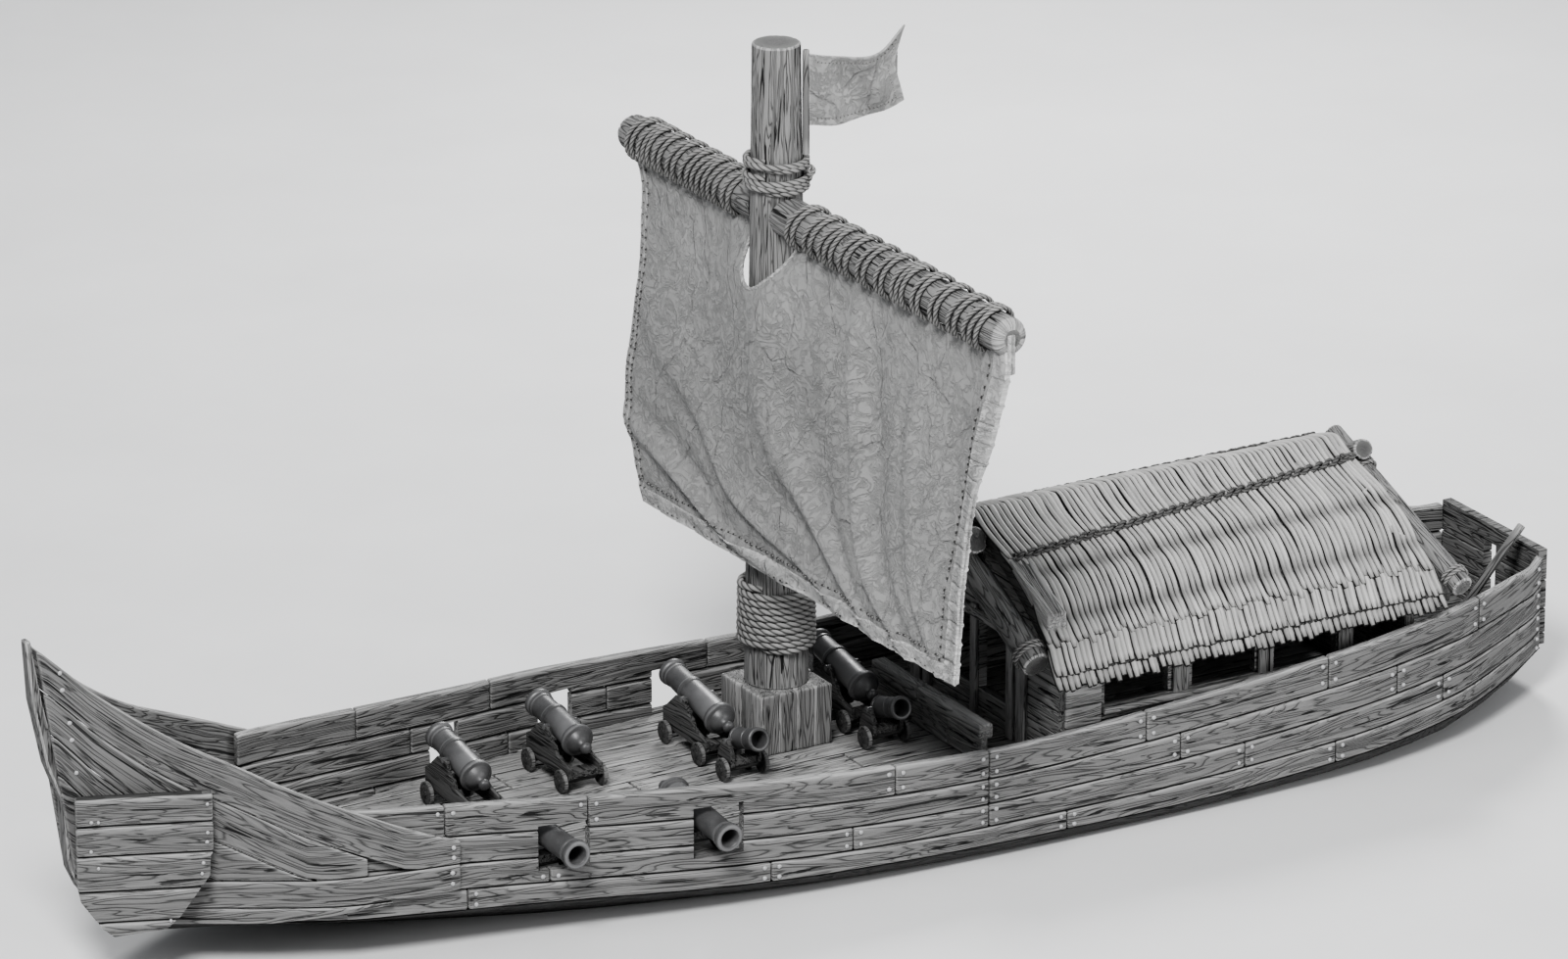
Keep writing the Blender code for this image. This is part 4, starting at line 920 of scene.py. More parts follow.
LAP_TOP, LAP_FOOT = 0.86, 0.60       # heights of the lapped plank below the sheer plank
INNER_TOP, INNER_FOOT = 0.60, 0.445  # heights of the board inside that closes the deck's edge
SHEER_PROUD = 0.010                  # how far the sheer plank of the bow stands proud
BOARD_THICK = 0.12
BOARD_PLACE = (Matrix.Translation((7.40, 0.1818, 0.0))
               @ Matrix.Rotation(-math.radians(22.0), 4, "Z"))
BOARD_SEAMS = [0.44, 0.59, 0.88, 1.21, 1.49, 1.755]
DECK_ROWS = 10
STERN_SEAMS = [0.2, 0.55, 0.80, 1.08, 1.45]


def wing_height(x):
    """Height of the bow planks."""
    return wing_point(x, 1, 0, 1).z - wing_point(x, 0, 0, 1).z


def wing_share(x, z):
    """Where a height lies between the lower and the upper edge of the bow planks."""
    return (z - wing_point(x, 0, 0, 1).z) / wing_height(x)


def below_sheer(distance):
    """A seam at a distance below the upper edge, down to the lapped plank's top."""
    return lambda x: max(1 - distance / wing_height(x), at_height(LAP_TOP)(x), 0.0)


def at_height(z):
    """A level seam."""
    return lambda x: max(wing_share(x, z), 0.0)


BOW_ROWS = [                       # lower seam, upper seam, ends and how far it stands proud
    (below_sheer(0.40), lambda x: 1.0, (WING_START_X, WING_END_X), SHEER_PROUD),
    (below_sheer(0.80), below_sheer(0.40), (5.02, WING_END_X), 0.0),
    (below_sheer(1.18), below_sheer(0.80), (5.44, WING_END_X), 0.0),
    (below_sheer(9.0), below_sheer(1.18), (6.14, WING_END_X), 0.0),
    (at_height(LAP_FOOT), at_height(LAP_TOP), (WING_START_X, 7.12), 0.004),
    (lambda x: 0.0, at_height(LAP_FOOT), (4.80, 6.90), 0.0),
]


class GUNBOAT_OT_bow(bpy.types.Operator):
    """Plank the raked bow on both sides"""

    bl_idname = "gunboat.bow"
    bl_label = "Bow planks"

    def execute(self, context):
        for sign, side in SIDE_NAMES.items():
            rng = random.Random(23 + sign)
            solid = Solid()
            for low, high, ends, proud in BOW_ROWS:
                def place(s, t, d):
                    share = low(s) + (high(s) - low(s)) * t
                    return wing_point(s, share, d - proud, sign)

                def across(s):
                    return (high(s) - low(s)) * wing_height(s)

                add_plank(solid, place, ends, (0.0, 1.0), across, WING_THICK, rng, edge=0.012,
                          open_top=proud == SHEER_PROUD)

            def inner(s, t, d):
                z = INNER_FOOT + (INNER_TOP - INNER_FOOT) * t
                return wing_point(s, wing_share(s, z), WING_THICK + d, sign)

            add_plank(solid, inner, (SIDE_END_X - 0.02, 5.80), (0.0, 1.0),
                      lambda s: INNER_TOP - INNER_FOOT, 0.05, rng, edge=0.008, hewn=0.003)
            piece = solid.object("bow_planks_" + side, finish("planks"))
            settle(piece, "hull", "weathered_wood", "bow_wing_" + side)
        stem = hewn("stem_post", "stem", finish("planks"), 2, bevel=0.018, offset=4.0)
        settle(stem, "hull", "weathered_wood", "stem")
        return {"FINISHED"}


class GUNBOAT_OT_bow_board(bpy.types.Operator):
    """Build the heavy cheek on the port bow from its five boards"""

    bl_idname = "gunboat.bow_board"
    bl_label = "Bow board"

    def execute(self, context):
        rng = random.Random(31)
        solid = Solid()
        for low, high in zip(BOARD_SEAMS, BOARD_SEAMS[1:]):
            add_plank(solid, lambda s, t, d: BOARD_PLACE @ Vector((-s, BOARD_THICK - d, t)),
                      (0.05, 1.243), (low, high), lambda s: 1.0, BOARD_THICK, rng, edge=0.020,
                      seam=0.010)
        piece = solid.object("bow_board", finish("planks"))
        carve(piece, solid_copy("bow_cheek"), "INTERSECT")
        settle(piece, "hull", "weathered_wood", "bow_cheek")
        return {"FINISHED"}


class GUNBOAT_OT_deck(bpy.types.Operator):
    """Lay the deck, board the stern and darken the bottom"""

    bl_idname = "gunboat.deck"
    bl_label = "Deck, stern and bottom"

    def execute(self, context):
        rng = random.Random(41)
        seams = spread(-1.89, 1.89, DECK_ROWS)
        cuts = sorted((x + (row % 3) * 0.9 + rng.uniform(-0.3, 0.3), row)
                      for row in range(DECK_ROWS) for x in (-5.2, -2.4, 0.6, 3.3))
        deck = stacked("deck_planks", "deck", finish("deck_wood"), 0, 1, seams, rng, cuts=cuts,
                       seam=0.024)
        settle(deck, "hull", "weathered_wood", "deck")
        stern = stacked("stern_boards", "transom", finish("planks"), 1, 2, STERN_SEAMS, rng)
        settle(stern, "hull", "weathered_wood", "transom")
        for slot in NODES["hull_bottom"].material_slots:
            slot.material = finish("bottom")
        return {"FINISHED"}


# Mast, yard and ropes

CRACK_DEPTH = 0.012
STEP_HALF, STEP_TOP = 0.374, 1.079     # the block that the mast stands in
YARD_MIDDLE_Y, YARD_HALF = 0.05, 3.37
LOOP_R, YARD_ROPE_R = 0.207, 0.0225    # the loops on the yard and their rope


def staff_axis():
    """The middle of the flagstaff, and its lower and upper corners."""
    low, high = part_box("flagstaff")
    return (low + high) / 2, low, high


def cracked_log(solid, start, end, radius, end_radius, seed, sides=64, dome=0.02):
    """A thick spar with long cracks that run along it and rounded ends."""
    start, end = Vector(start), Vector(end)
    length = (end - start).length
    turn = (end - start).to_track_quat("Z", "Y")
    stations = [dome * share for share in (0.0, 0.12, 0.4, 0.7)]
    stations += spread(dome, length - dome, int(length / 0.06))
    stations += [length - dome * share for share in (0.7, 0.4, 0.12, 0.0)]
    rings = []
    for s in stations:
        rim = min(s, length - s, dome)
        base = radius + (end_radius - radius) * s / length
        base -= dome - math.sqrt(max(dome ** 2 - (dome - rim) ** 2, 0.0))
        ring = []
        for a in angles(sides):
            spot = (math.cos(a) * 2.6, math.sin(a) * 2.6, s * 0.55)
            split = max(0.0, 1.0 - abs(wobble(spot, 1.0, seed)) / 0.05)
            r = base - 0.003 + 0.003 * wobble(spot, 2.0, seed + 4) - CRACK_DEPTH * split
            point = start + turn @ Vector((r * math.cos(a), r * math.sin(a), s))
            ring.append((point, (s + seed * 3, a * radius + seed, 0.0),
                         0.0 if rim > dome * 0.95 else 0.8))
        rings.append(ring)
    close_ends(rings, start, end, 0.4, lambda g: (g[0] * 9, g[1] * 3, 0.4))
    solid.loft(rings)


def turns_round_mast(solid, low, turns, radius):
    """Wind a rope round the mast from a height upwards, with its ends tucked under."""
    path = []
    steps = 36
    first = 0.6
    for k in range(turns * steps + 1):
        a = TURN * k / steps
        z = low + radius + 2 * radius * k / steps * (turns - 1) / turns
        z += 0.004 * wobble((a * 0.4, low, 0.0), 1.0)
        tuck = min(1.0, k / 5, (turns * steps - k) / 5)
        r = mast_radius(z) + radius * (tuck * 1.6 - 0.62) + 0.004
        path.append((MAST_X + r * math.cos(a + first), MAST_Y + r * math.sin(a + first), z))
    add_rope(solid, path, radius * 0.97)


class GUNBOAT_OT_mast(bpy.types.Operator):
    """Raise the mast in its step, with the windings of rope and the flagstaff"""

    bl_idname = "gunboat.mast"
    bl_label = "Mast"

    def execute(self, context):
        rng = random.Random(51)
        solid = Solid()
        cracked_log(solid, (MAST_X, MAST_Y, MAST_BASE_Z), (MAST_X, MAST_Y, MAST_HEAD_Z),
                    MAST_BASE_R, MAST_HEAD_R, 1.7)
        settle(solid.object("mast_spar", finish("pale_wood")), "hull", "weathered_wood", "mast")
        step = Solid()
        for i in range(4):
            for j in range(2):
                low = (MAST_X - STEP_HALF + STEP_HALF / 2 * i, MAST_Y - STEP_HALF + STEP_HALF * j,
                       ON_DECK)
                high = (low[0] + STEP_HALF / 2 - 0.002, low[1] + STEP_HALF - 0.002, STEP_TOP)
                add_box(step, low, high, 2, rng, edge=0.012)
        settle(step.object("mast_step_boards", finish("planks")), "hull", "weathered_wood",
               "mast_step")
        coil = Solid()
        turns_round_mast(coil, 1.42, 9, 0.0365)
        settle(coil.object("mast_coil_rope", finish("rope")), "hull", "hemp_rope", "mast_coil")
        lashing = Solid()
        turns_round_mast(lashing, 5.99, 2, 0.033)
        away = Vector((-0.72, 0.69, 0.0)).normalized()
        for k in range(3):
            middle = Vector((MAST_X, MAST_Y, 5.985 - 0.028 * k)) + away * 0.315
            lean = Matrix.Rotation(0.9 * k - 0.8, 3, "X") @ Matrix.Rotation(0.5 * k, 3, "Y")
            loop = [middle + lean @ Vector((0.030 * math.cos(a), 0.036 * math.sin(a), 0.0))
                    for a in angles(16)]
            add_rope(lashing, loop, 0.020, closed=True)
        settle(lashing.object("flag_lashing_rope", finish("rope")), "hull", "hemp_rope",
               "flag_lashing")
        parrel = Solid()
        turns_round_mast(parrel, 5.775, 3, 0.033)
        settle(parrel.object("parrel_rope", finish("rope")), "yard", "hemp_rope", "yard_parrel")
        middle, low, high = staff_axis()
        staff = Solid()
        add_log(staff, (middle.x, middle.y, low.z), (middle.x, middle.y, high.z), 0.034, 0.031,
                2.0, sides=14, rough=0.002, round_end=0.01)
        settle(staff.object("flagstaff_pole", finish("planks")), "hull", "weathered_wood",
               "flagstaff")
        return {"FINISHED"}


class GUNBOAT_OT_yard(bpy.types.Operator):
    """Sling the yard, with its slanted loops of rope"""

    bl_idname = "gunboat.yard"
    bl_label = "Yard"

    def execute(self, context):
        for sign, side, loops in ((PORT, "port", 11), (STARBOARD, "starboard", 8)):
            end = YARD_MIDDLE_Y + sign * YARD_HALF
            solid = Solid()
            cracked_log(solid, (MAST_X, MAST_Y + sign * 0.02, YARD_Z),
                        (MAST_X, end - sign * 0.004, YARD_Z), 0.188, 0.174, 5.0 + sign,
                        dome=0.09)
            half = solid.object("yard_log_" + side, finish("pale_wood"))
            tool = Solid()
            add_log(tool, (MAST_X, MAST_Y, YARD_Z - 1), (MAST_X, MAST_Y, YARD_Z + 1), 0.262,
                    0.262, 0.0, sides=48, rough=0.0)
            carve(half, tool.object("hollow", finish("planks")))
            settle(half, "yard", "weathered_wood", "yard_" + side)
            length = abs(end - MAST_Y) - 0.02
            pitch = (length - 0.64) / loops
            rope = Solid()
            for k in range(loops):
                at = MAST_Y + sign * (0.44 + pitch * (k + 0.5))
                slant = 0.065 * (1 + 0.3 * math.sin(k * 7))
                for shift in (-0.034, 0.034) if k % 4 != 2 else (-0.06, 0.0, 0.06):
                    path = [(MAST_X + LOOP_R * math.cos(a),
                             at + shift + slant * math.sin(a + shift * 9),
                             YARD_Z + LOOP_R * math.sin(a)) for a in angles(40)]
                    add_rope(rope, path, YARD_ROPE_R, closed=True)
            settle(rope.object("yard_loops_" + side, finish("rope")), "yard", "hemp_rope")
        return {"FINISHED"}


# Cloth

def fold(y_share, t):
    """Depth of the folds, which hang from the yard and sweep to the port lower corner."""
    left, right = sail_edges(t)
    y = left + (right - left) * y_share
    gather = 0.34 + 0.66 * (1.0 - math.exp(-t * 3.0 / 0.95))
    across = 7.0 * (1.0 - math.exp(-(3.35 - y) / gather / 7.0))
    bend = across + 0.28 * wobble((y * 0.6, t * 1.8, 0.0), 1.0)
    strength = 0.75 + 0.7 * wobble((bend * 0.8, t * 1.3, 3.0), 1.0)
    wave = strength * (1.3 * math.exp(-math.sin(bend * 3.1) ** 2 / 0.20) - 0.45)
    wave += 0.20 * math.sin(bend * 10.3 + 1.4 * wobble((y, t * 3, 5.0), 0.7))
    wave += 0.70 * wobble((y * 0.7, t * 2.0, 9.0), 1.0)
    crinkle = max(0.0, 1.0 - abs(wobble((y * 3.6, t * 9.0, 7.0), 1.0)) * 9.0)
    wave += 0.13 * crinkle * max(0.0, 0.6 + wobble((y * 1.1, t * 3.0, 1.0), 1.0))
    calm = min(1.0, 0.45 + 2.2 * (1 - t)) * min(1.0, 0.4 + (3.35 - y) * 1.2)
    calm *= min(1.0, 0.30 + 4.0 * t) * min(1.0, 0.30 + 5.0 * y_share)
    mast_near = math.exp(-((y - MAST_Y) / 0.42) ** 4)
    return settings().folds * calm * (wave + (max(wave, -0.1) - wave) * mast_near)


def cloth_piece(name, point, columns, rows, thick, mat, grain, hem=0.0):
    """A thin closed sheet over a grid of points; hem is the share of its turned-in edges."""
    solid = Solid()
    grid = [[point(i / columns, j / rows) for j in range(rows + 1)] for i in range(columns + 1)]
    rings = []
    for i in range(columns + 1):
        ring = []
        for j in range(rows + 1):
            ahead = grid[min(i + 1, columns)][j] - grid[max(i - 1, 0)][j]
            up = grid[i][min(j + 1, rows)] - grid[i][max(j - 1, 0)]
            u, v = i / columns, j / rows
            turned = 2.4 if min(u, 1.0 - u, v, 1.0 - v) < hem else 1.0
            out = up.cross(ahead).normalized() * (thick * turned / 2)
            rim = 1.0 if i in (0, columns) or j in (0, rows) else 0.0
            ring.append((grid[i][j] + out, grid[i][j] - out, grain(u, v), rim))
        rings.append(ring)
    loops = [[(a, g, w) for a, b, g, w in ring] + [(b, g, w) for a, b, g, w in reversed(ring)]
             for ring in rings]
    solid.loft(loops)
    return solid.object(name, mat, 80.0)


class GUNBOAT_OT_sail(bpy.types.Operator):
    """Hang the sail below the yard, with its hems and their stitches"""

    bl_idname = "gunboat.sail"
    bl_label = "Sail"

    def execute(self, context):
        rng = random.Random(55)

        def surface(u, t):
            point = sail_point(u, t, 0.015 + fold(u, t))
            close = max(0.0, (t - 0.84) / 0.16) ** 2      # the head lies against the yard
            point.x += (MAST_X + 0.05 - point.x) * close
            point.z += (0.055 + 0.06 * max(0.0, (u - 0.95) / 0.05)) * close
            return point

        def at(y, z):
            t, u = 0.9, 0.5
            for _ in range(4):
                left, right = sail_edges(t)
                u = (y - left) / (right - left)
                t = (z - sail_foot(u)) / (SAIL_TOP - sail_foot(u))
            return u, t

        sail = cloth_piece("sail_sheet", surface, 200, 110, 0.014, finish("cloth"),
                           lambda u, t: (u * 6.0, t * 3.0, 0.0))
        mouth = [Vector((0.0, y, SAIL_TOP - down)) for y, down in MOUTH]
        tool = Solid()
        tool.loft([[(point + Vector((x, 0, 0)), (0, 0, 0), 0.0) for point in mouth]
                   for x in (MAST_X - 1.0, MAST_X + 1.0)])
        carve(sail, tool.object("mouth", finish("cloth")))
        settle(sail, "yard", "sail_cloth", "sail")
        strips = {"foot": (lambda u, t: surface(u, t * 0.045), 0.050),
                  "port": (lambda u, t: surface(1.0 - 0.030 * (1 - t), u), 0.056),
                  "starboard": (lambda u, t: surface(0.016 * t, u), 0.024)}
        hems = []
        for name, (place, thick) in strips.items():
            def hem(u, t):
                along = u * 17.0                              # the hem is pinched 17 times
                part = math.floor(along + 0.3 * wobble((u * 40, 1.0, 1.0), 1.0))
                pinch = 0.014 if abs(along % 1.0 - 0.5) > 0.47 else 0.0
                shift = 0.004 * wobble((part * 3.3, 2.0, 2.0), 1.0) - pinch
                return place(u, t) + Vector((shift, 0.0, 0.0))

            hems.append(cloth_piece("sail_hem_" + name, hem, 170, 3, thick, finish("hem"),
                                    lambda u, t: (u * 6.0 + 20.0, t * 0.2, 0.0)))
        ring = Solid()
        around, _ = resampled(mouth[1:-1], 0.03, False)
        add_rope(ring, [surface(*at(point.y, point.z)) for point in around], 0.020)
        hems.append(ring.object("sail_mouth_hem", finish("hem")))
        stitches = Solid()
        rows = [(lambda u: surface(u, 0.066), 62, 0.05), (lambda u: surface(u, 0.012), 62, 0.05),
                (lambda u: surface(0.958, u), 34, 0.05), (lambda u: surface(0.021, u), 40, 0.04),
                (lambda u: surface(0.008, u), 40, 0.03)]
        for line, count, length in rows:
            for k in range(1, count):
                u = (k + rng.uniform(-0.2, 0.2)) / count
                point, ahead = line(u), line(min(u + 0.004, 1.0))
                along = (ahead - point).normalized() * length / 2
                for face in (-0.019, 0.019):
                    lift = Vector((face, 0, 0))
                    add_log(stitches, point - along + lift, point + along + lift, 0.008, 0.008,
                            k, sides=6, rough=0.0, round_end=0.006)
        hems.append(stitches.object("sail_stitches", finish("rope")))
        strap = Solid()
        add_box(strap, (MAST_X - 0.02, 3.380, 5.26), (MAST_X + 0.050, 3.442, 5.62), 2, rng,
                edge=0.012, hewn=0.003)
        hems.append(strap.object("sail_strap", finish("hem")))
        for made in hems:
            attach(made, "yard")
        return {"FINISHED"}


FLAG_REACH = 0.845
FLAG_UPPER = [(0.0, 7.06), (0.3, 7.03), (0.62, 7.08), (FLAG_REACH, 7.31)]
FLAG_LOWER = [(0.0, 6.40), (0.3, 6.42), (0.62, 6.52), (FLAG_REACH, 6.64)]


class GUNBOAT_OT_flag(bpy.types.Operator):
    """Fly the swallow-tailed flag from its staff"""

    bl_idname = "gunboat.flag"
    bl_label = "Flag"

    def execute(self, context):
        middle = staff_axis()[0]
        fly = Vector((-0.866, 0.5, 0.0))
        across = Vector((0.5, 0.866, 0.0))
        start = Vector((middle.x, middle.y, 0.0)) + fly * 0.030

        def point(u, v):
            out = FLAG_REACH * u
            z = between(FLAG_LOWER, out, 1) * (1 - v) + between(FLAG_UPPER, out, 1) * v
            reach = out * (1 - 0.12 * (1 - abs(2 * v - 1)) * u)
            free = min(1.0, u * 3)
            wave = 0.048 * math.sin(u * 8.5 + v * 2.2) * free
            wave += 0.022 * math.sin(u * 4.0 - v * 7.0 + 1.0) * free
            wave += 0.020 * wobble((u * 4, v * 4, 1.0), 1.0) * free
            return start + fly * reach + across * wave + Vector((0, 0, z))

        flag = cloth_piece("flag_sheet", point, 60, 40, 0.010, finish("cloth"),
                           lambda u, v: (u * 0.85 + 3.0, v * 0.66, 0.0), hem=0.07)
        settle(flag, "hull", "sail_cloth", "flag")
        stitches = Solid()
        lines = [lambda u, v=v: (u, v) for v in (0.10, 0.90)] + [lambda v: (0.93, v)]
        for line in lines:
            for k in range(2, 24):
                here, ahead = point(*line(k / 25)), point(*line((k + 0.45) / 25))
                for face in (-0.008, 0.008):
                    add_log(stitches, here + across * face, ahead + across * face, 0.005, 0.005,
                            k, sides=6, rough=0.0, round_end=0.003)
        made = settle(stitches.object("flag_stitches", finish("rope")), "hull", "sail_cloth")
        return {"FINISHED"}


# Cabin

WALL_SEAMS = [0.45, 0.66, 0.86, 1.05, 1.36, 1.50, 1.80]
GABLE_SEAMS = [0.45, 0.62, 0.80, 1.02, 1.26, 1.50, 1.75, 2.0, 2.25, 2.6]


class GUNBOAT_OT_cabin(bpy.types.Operator):
    """Board the cabin, with its posts and sills"""

    bl_idname = "gunboat.cabin"
    bl_label = "Cabin"

    def execute(self, context):
        rng = random.Random(61)
        for side in SIDE_NAMES.values():
            wall = stacked("cabin_boards_" + side, "cabin_wall_" + side, finish("cabin_wood"), 0,
                           2, WALL_SEAMS, rng, edge=0.010)
            settle(wall, "hull", "weathered_wood", "cabin_wall_" + side)
        for end in ("front", "rear"):
            wall = stacked("gable_boards_" + end, "cabin_wall_" + end, finish("cabin_wood"), 1, 2,
                           GABLE_SEAMS, rng, edge=0.010)
            settle(wall, "hull", "weathered_wood", "cabin_wall_" + end)
        frames = Solid()
        for sign in (PORT, STARBOARD):
            face = sign * CABIN["half"]
            near, far = sorted((face + sign * 0.001, face + sign * 0.035))
            for k in range(5):
                add_box(frames, (-2.33, near, 0.51 + 0.2 * k),
                        (-1.94, far + sign * 0.01, 0.70 + 0.2 * k), 0, rng, edge=0.016)
            for x, wide in ((-3.19, 0.17), (-4.105, 0.16), (-4.98, 0.16), (-5.68, 0.10)):
                add_box(frames, (x - wide / 2, near, ON_DECK), (x + wide / 2, far, 1.50), 2,
                        rng, edge=0.010)
            for low, high, out in ((0.98, 1.045, 0.075), (1.365, 1.43, 0.05)):
                near, far = sorted((face + sign * 0.001, face + sign * out))
                add_box(frames, (-5.62, near, low), (-2.34, far, high), 0, rng, edge=0.010)
        for y, wide in ((-1.20, 0.16), (-1.0, 0.12), (-0.17, 0.10), (0.47, 0.12), (0.66, 0.16)):
            add_box(frames, (-1.949, y - wide / 2, ON_DECK), (-1.905, y + wide / 2, 1.62), 2, rng)
        add_box(frames, (-1.949, -1.26, 1.50), (-1.885, 1.26, 1.585), 1, rng, edge=0.010)
        settle(frames.object("cabin_frames", finish("cabin_wood")), "hull", "weathered_wood")
        sill = Solid()
        for low, high in ((-1.00, -0.20), (-0.19, 0.93)):
            add_box(sill, (-1.47, low, 0.765), (-1.32, high, 0.905), 1, rng, edge=0.016)
        for low, high in ((-0.97, -0.35), (-0.34, 0.28), (0.29, 0.90)):
            add_box(sill, (-1.43, low, ON_DECK), (-1.36, high, 0.764), 1, rng, edge=0.010)
        settle(sill.object("cabin_sill", finish("cabin_wood")), "hull", "weathered_wood")
        return {"FINISHED"}


class GUNBOAT_OT_logs(bpy.types.Operator):
    """Cross the logs at both ends of the roof and bind them with rope"""

    bl_idname = "gunboat.logs"
    bl_label = "Roof logs"

    def execute(self, context):
        sizes = {"front": (ROOF["front"], 1, 0.14, 1.38, 1.585, 2.29, 0.30),
                 "rear": (ROOF["rear"], -1, 0.11, 1.70, 1.60, 2.41, 0.27)}
        bindings = Solid()
        for end, (gable, side, radius, foot_y, foot_z, top_z, past) in sizes.items():
            slope = (top_z - foot_z) / foot_y
            solid = Solid()
            for sign in (PORT, STARBOARD):
                x = gable + side * (radius * 0.95 + 0.003)
                points = []
                for y, z in ((sign * foot_y, foot_z), (-sign * past, top_z + slope * past)):
                    lean = ROOF["lean"] * (z - ROOF["eave"][1]) if side < 0 else 0.0
                    points.append(Vector((x + lean, y, z)))
                cracked_log(solid, points[0], points[1], radius * 0.99, radius * 0.93,
                            3.0 + sign + side * 5, sides=40)
                along = (points[1] - points[0]).normalized()
                turn = along.to_track_quat("Z", "Y")
                for at, count in ((0.12, 2), ((points[1] - points[0]).length - 0.55, 3)):
                    for k in range(count):
                        middle = points[0] + along * (at + k * 0.045)
                        path = [middle + turn @ Vector((radius * 1.07 * math.cos(a),
                                                        radius * 1.07 * math.sin(a), 0.0))
                                for a in angles(32)]
                        add_rope(bindings, path, 0.021, closed=True)
            settle(solid.object("roof_logs_" + end, finish("pale_wood")), "hull",
                   "weathered_wood", "rafters_" + end)
        settle(bindings.object("log_bindings", finish("rope")), "hull", "hemp_rope")
        wedge = Solid()
        rng = random.Random(66)

        def place(s, t, d):
            share = (1.33 - s) / 0.91
            low, high = 1.79 + 0.60 * share, 2.02 + 0.42 * share
            return Vector((-1.99 + t, s, high - d * (high - low) / 0.23))

        add_plank(wedge, place, (0.42, 1.33), (0.0, 0.20), lambda s: 1.0, 0.23, rng,
                  edge=0.016, seam=0.0)
        settle(wedge.object("roof_wedge", finish("pale_wood")), "hull", "weathered_wood")
        return {"FINISHED"}


class GUNBOAT_OT_thatch(bpy.types.Operator):
    """Lay the reeds of the roof, with the ridge bundle and its twisted seam"""

    bl_idname = "gunboat.thatch"
    bl_label = "Thatch"

    def cap_reach(self, x):
        """How far down the slope the ridge bundle reaches, which grows towards the front."""
        return 0.15 + 0.21 * (x - ROOF["rear"]) / (ROOF["front"] - ROOF["rear"])

    def add_reed(self, solid, x, start, end, lift, radius, rng, steps):
        """Add one reed that runs down the slope."""
        sway, seed = rng.uniform(0.004, 0.011), rng.uniform(0, 50)
        lift += rng.uniform(-0.006, 0.006)
        rings = []
        for k in range(steps + 1):
            s = start + (end - start) * k / steps
            at = x + sway * wobble((s * 3.4, seed, 0.0), 1.0) * 2
            raised = lift + 0.004 * wobble((s * 5, seed, 4.0), 1.0)
            dip = sum(math.exp(-((abs(s) - middle) / 0.04) ** 2) for middle in (0.47, 0.73))
            raised -= 0.020 * dip
            at += 0.035 * math.sin(abs(s) * 9.0) + 0.60 * max(0.0, abs(s) - 0.87)
            middle = roof_point(at, s, raised)
            out = (roof_point(at, s, raised + 0.01) - middle).normalized()
            thin = radius * (0.75 if k in (0, steps) else 1.0 + 0.15 * wobble((s * 9, seed, 0), 1))
            ring = []
            for a in angles(6, 0.5):
                height = math.sin(a)
                point = middle + Vector((1, 0, 0)) * thin * math.cos(a) + out * thin * height
                # Painted shade: pale on top of the stem, dark at its sides, darker in the dips of
                # the rows and a little at both ends.
                ring.append((point, (abs(s) * 2.2 + seed, a * radius + seed, seed * 0.1),
                             (0.5 + 0.5 * height) * (0.8 if k in (0, steps) else 1.0 - 0.22 * dip)))
            rings.append(ring)
        solid.loft(rings)

    def execute(self, context):
        rng = random.Random(71)
        front, rear = ROOF["front"] - 0.02, ROOF["rear"] + 0.03
        places = spread(rear, front, int((front - rear) / settings().reed_step))
        tiers = [                  # start, end, lift, radius, ragged, steps and finish
            ("under_fringe", 0.86, 1.06, -0.034, 0.031, 0.012, 6, "dark_reed"),
            ("fringe", 0.80, 1.00, 0.004, 0.031, 0.008, 6, "reed"),
            ("reeds", None, 0.865, 0.026, 0.029, 0.022, 24, "reed"),
        ]
        for sign, side in SIDE_NAMES.items():
            for name, start, end, lift, radius, ragged, steps, kind in tiers:
                solid = Solid()
                for x in places:
                    begin = self.cap_reach(x) - 0.05 if start is None else start
                    self.add_reed(solid, x + rng.uniform(-0.007, 0.007), sign * begin,
                                  sign * (end + rng.uniform(-ragged, ragged)), lift,
                                  radius * rng.uniform(0.88, 1.12), rng, steps)
                settle(solid.object(name + "_" + side, finish(kind)), "hull", "thatch")
        cap = Solid()
        for x in places:
            reach = self.cap_reach(x)
            self.add_reed(cap, x, -reach - rng.uniform(0, 0.03), reach + rng.uniform(0, 0.03),
                          0.044, 0.029 * rng.uniform(0.88, 1.12), rng, 24)
        settle(cap.object("ridge_reeds", finish("reed")), "hull", "thatch")
        seam = Solid()
        for sign in (PORT, STARBOARD):
            for phase in (0.0, math.pi):
                path = []
                for k, x in enumerate(spread(rear + 0.05, front - 0.05, 180)):
                    knot = k * 0.62 + 0.8 * wobble((x * 2.0, phase, 0.0), 1.0)
                    reach = self.cap_reach(x) + 0.020 + 0.015 * math.sin(knot + phase)
                    path.append(roof_point(x, sign * reach,
                                           0.060 + 0.018 * math.cos(knot + phase)))
                add_rope(seam, path, 0.021)
        settle(seam.object("ridge_seam", finish("dark_rope")), "hull", "hemp_rope")
        for slot in NODES["thatch_roof"].material_slots:
            slot.material = finish("under_thatch")
        return {"FINISHED"}


# Guns

GUNS = {
    "starboard_1": (3.21, -0.80, 12.0, -1, 0.42, 0.52),
    "starboard_2": (2.04, -1.06, 9.0, -1, 0.45, 0.52),
    "starboard_3": (0.645, -1.02, 10.0, -1, 0.50, 0.62),
    "starboard_4": (-0.89, -1.04, 11.0, -1, 0.47, 0.60),
    "port_1": (3.27, 1.13, 0.0, 1, 0.86, 0.36),
    "port_2": (1.86, 1.34, -4.0, 1, 0.86, 0.36),
}
SHORT_GUNS = {"port_3": (0.64, 0.04), "port_4": (-0.86, 0.02)}


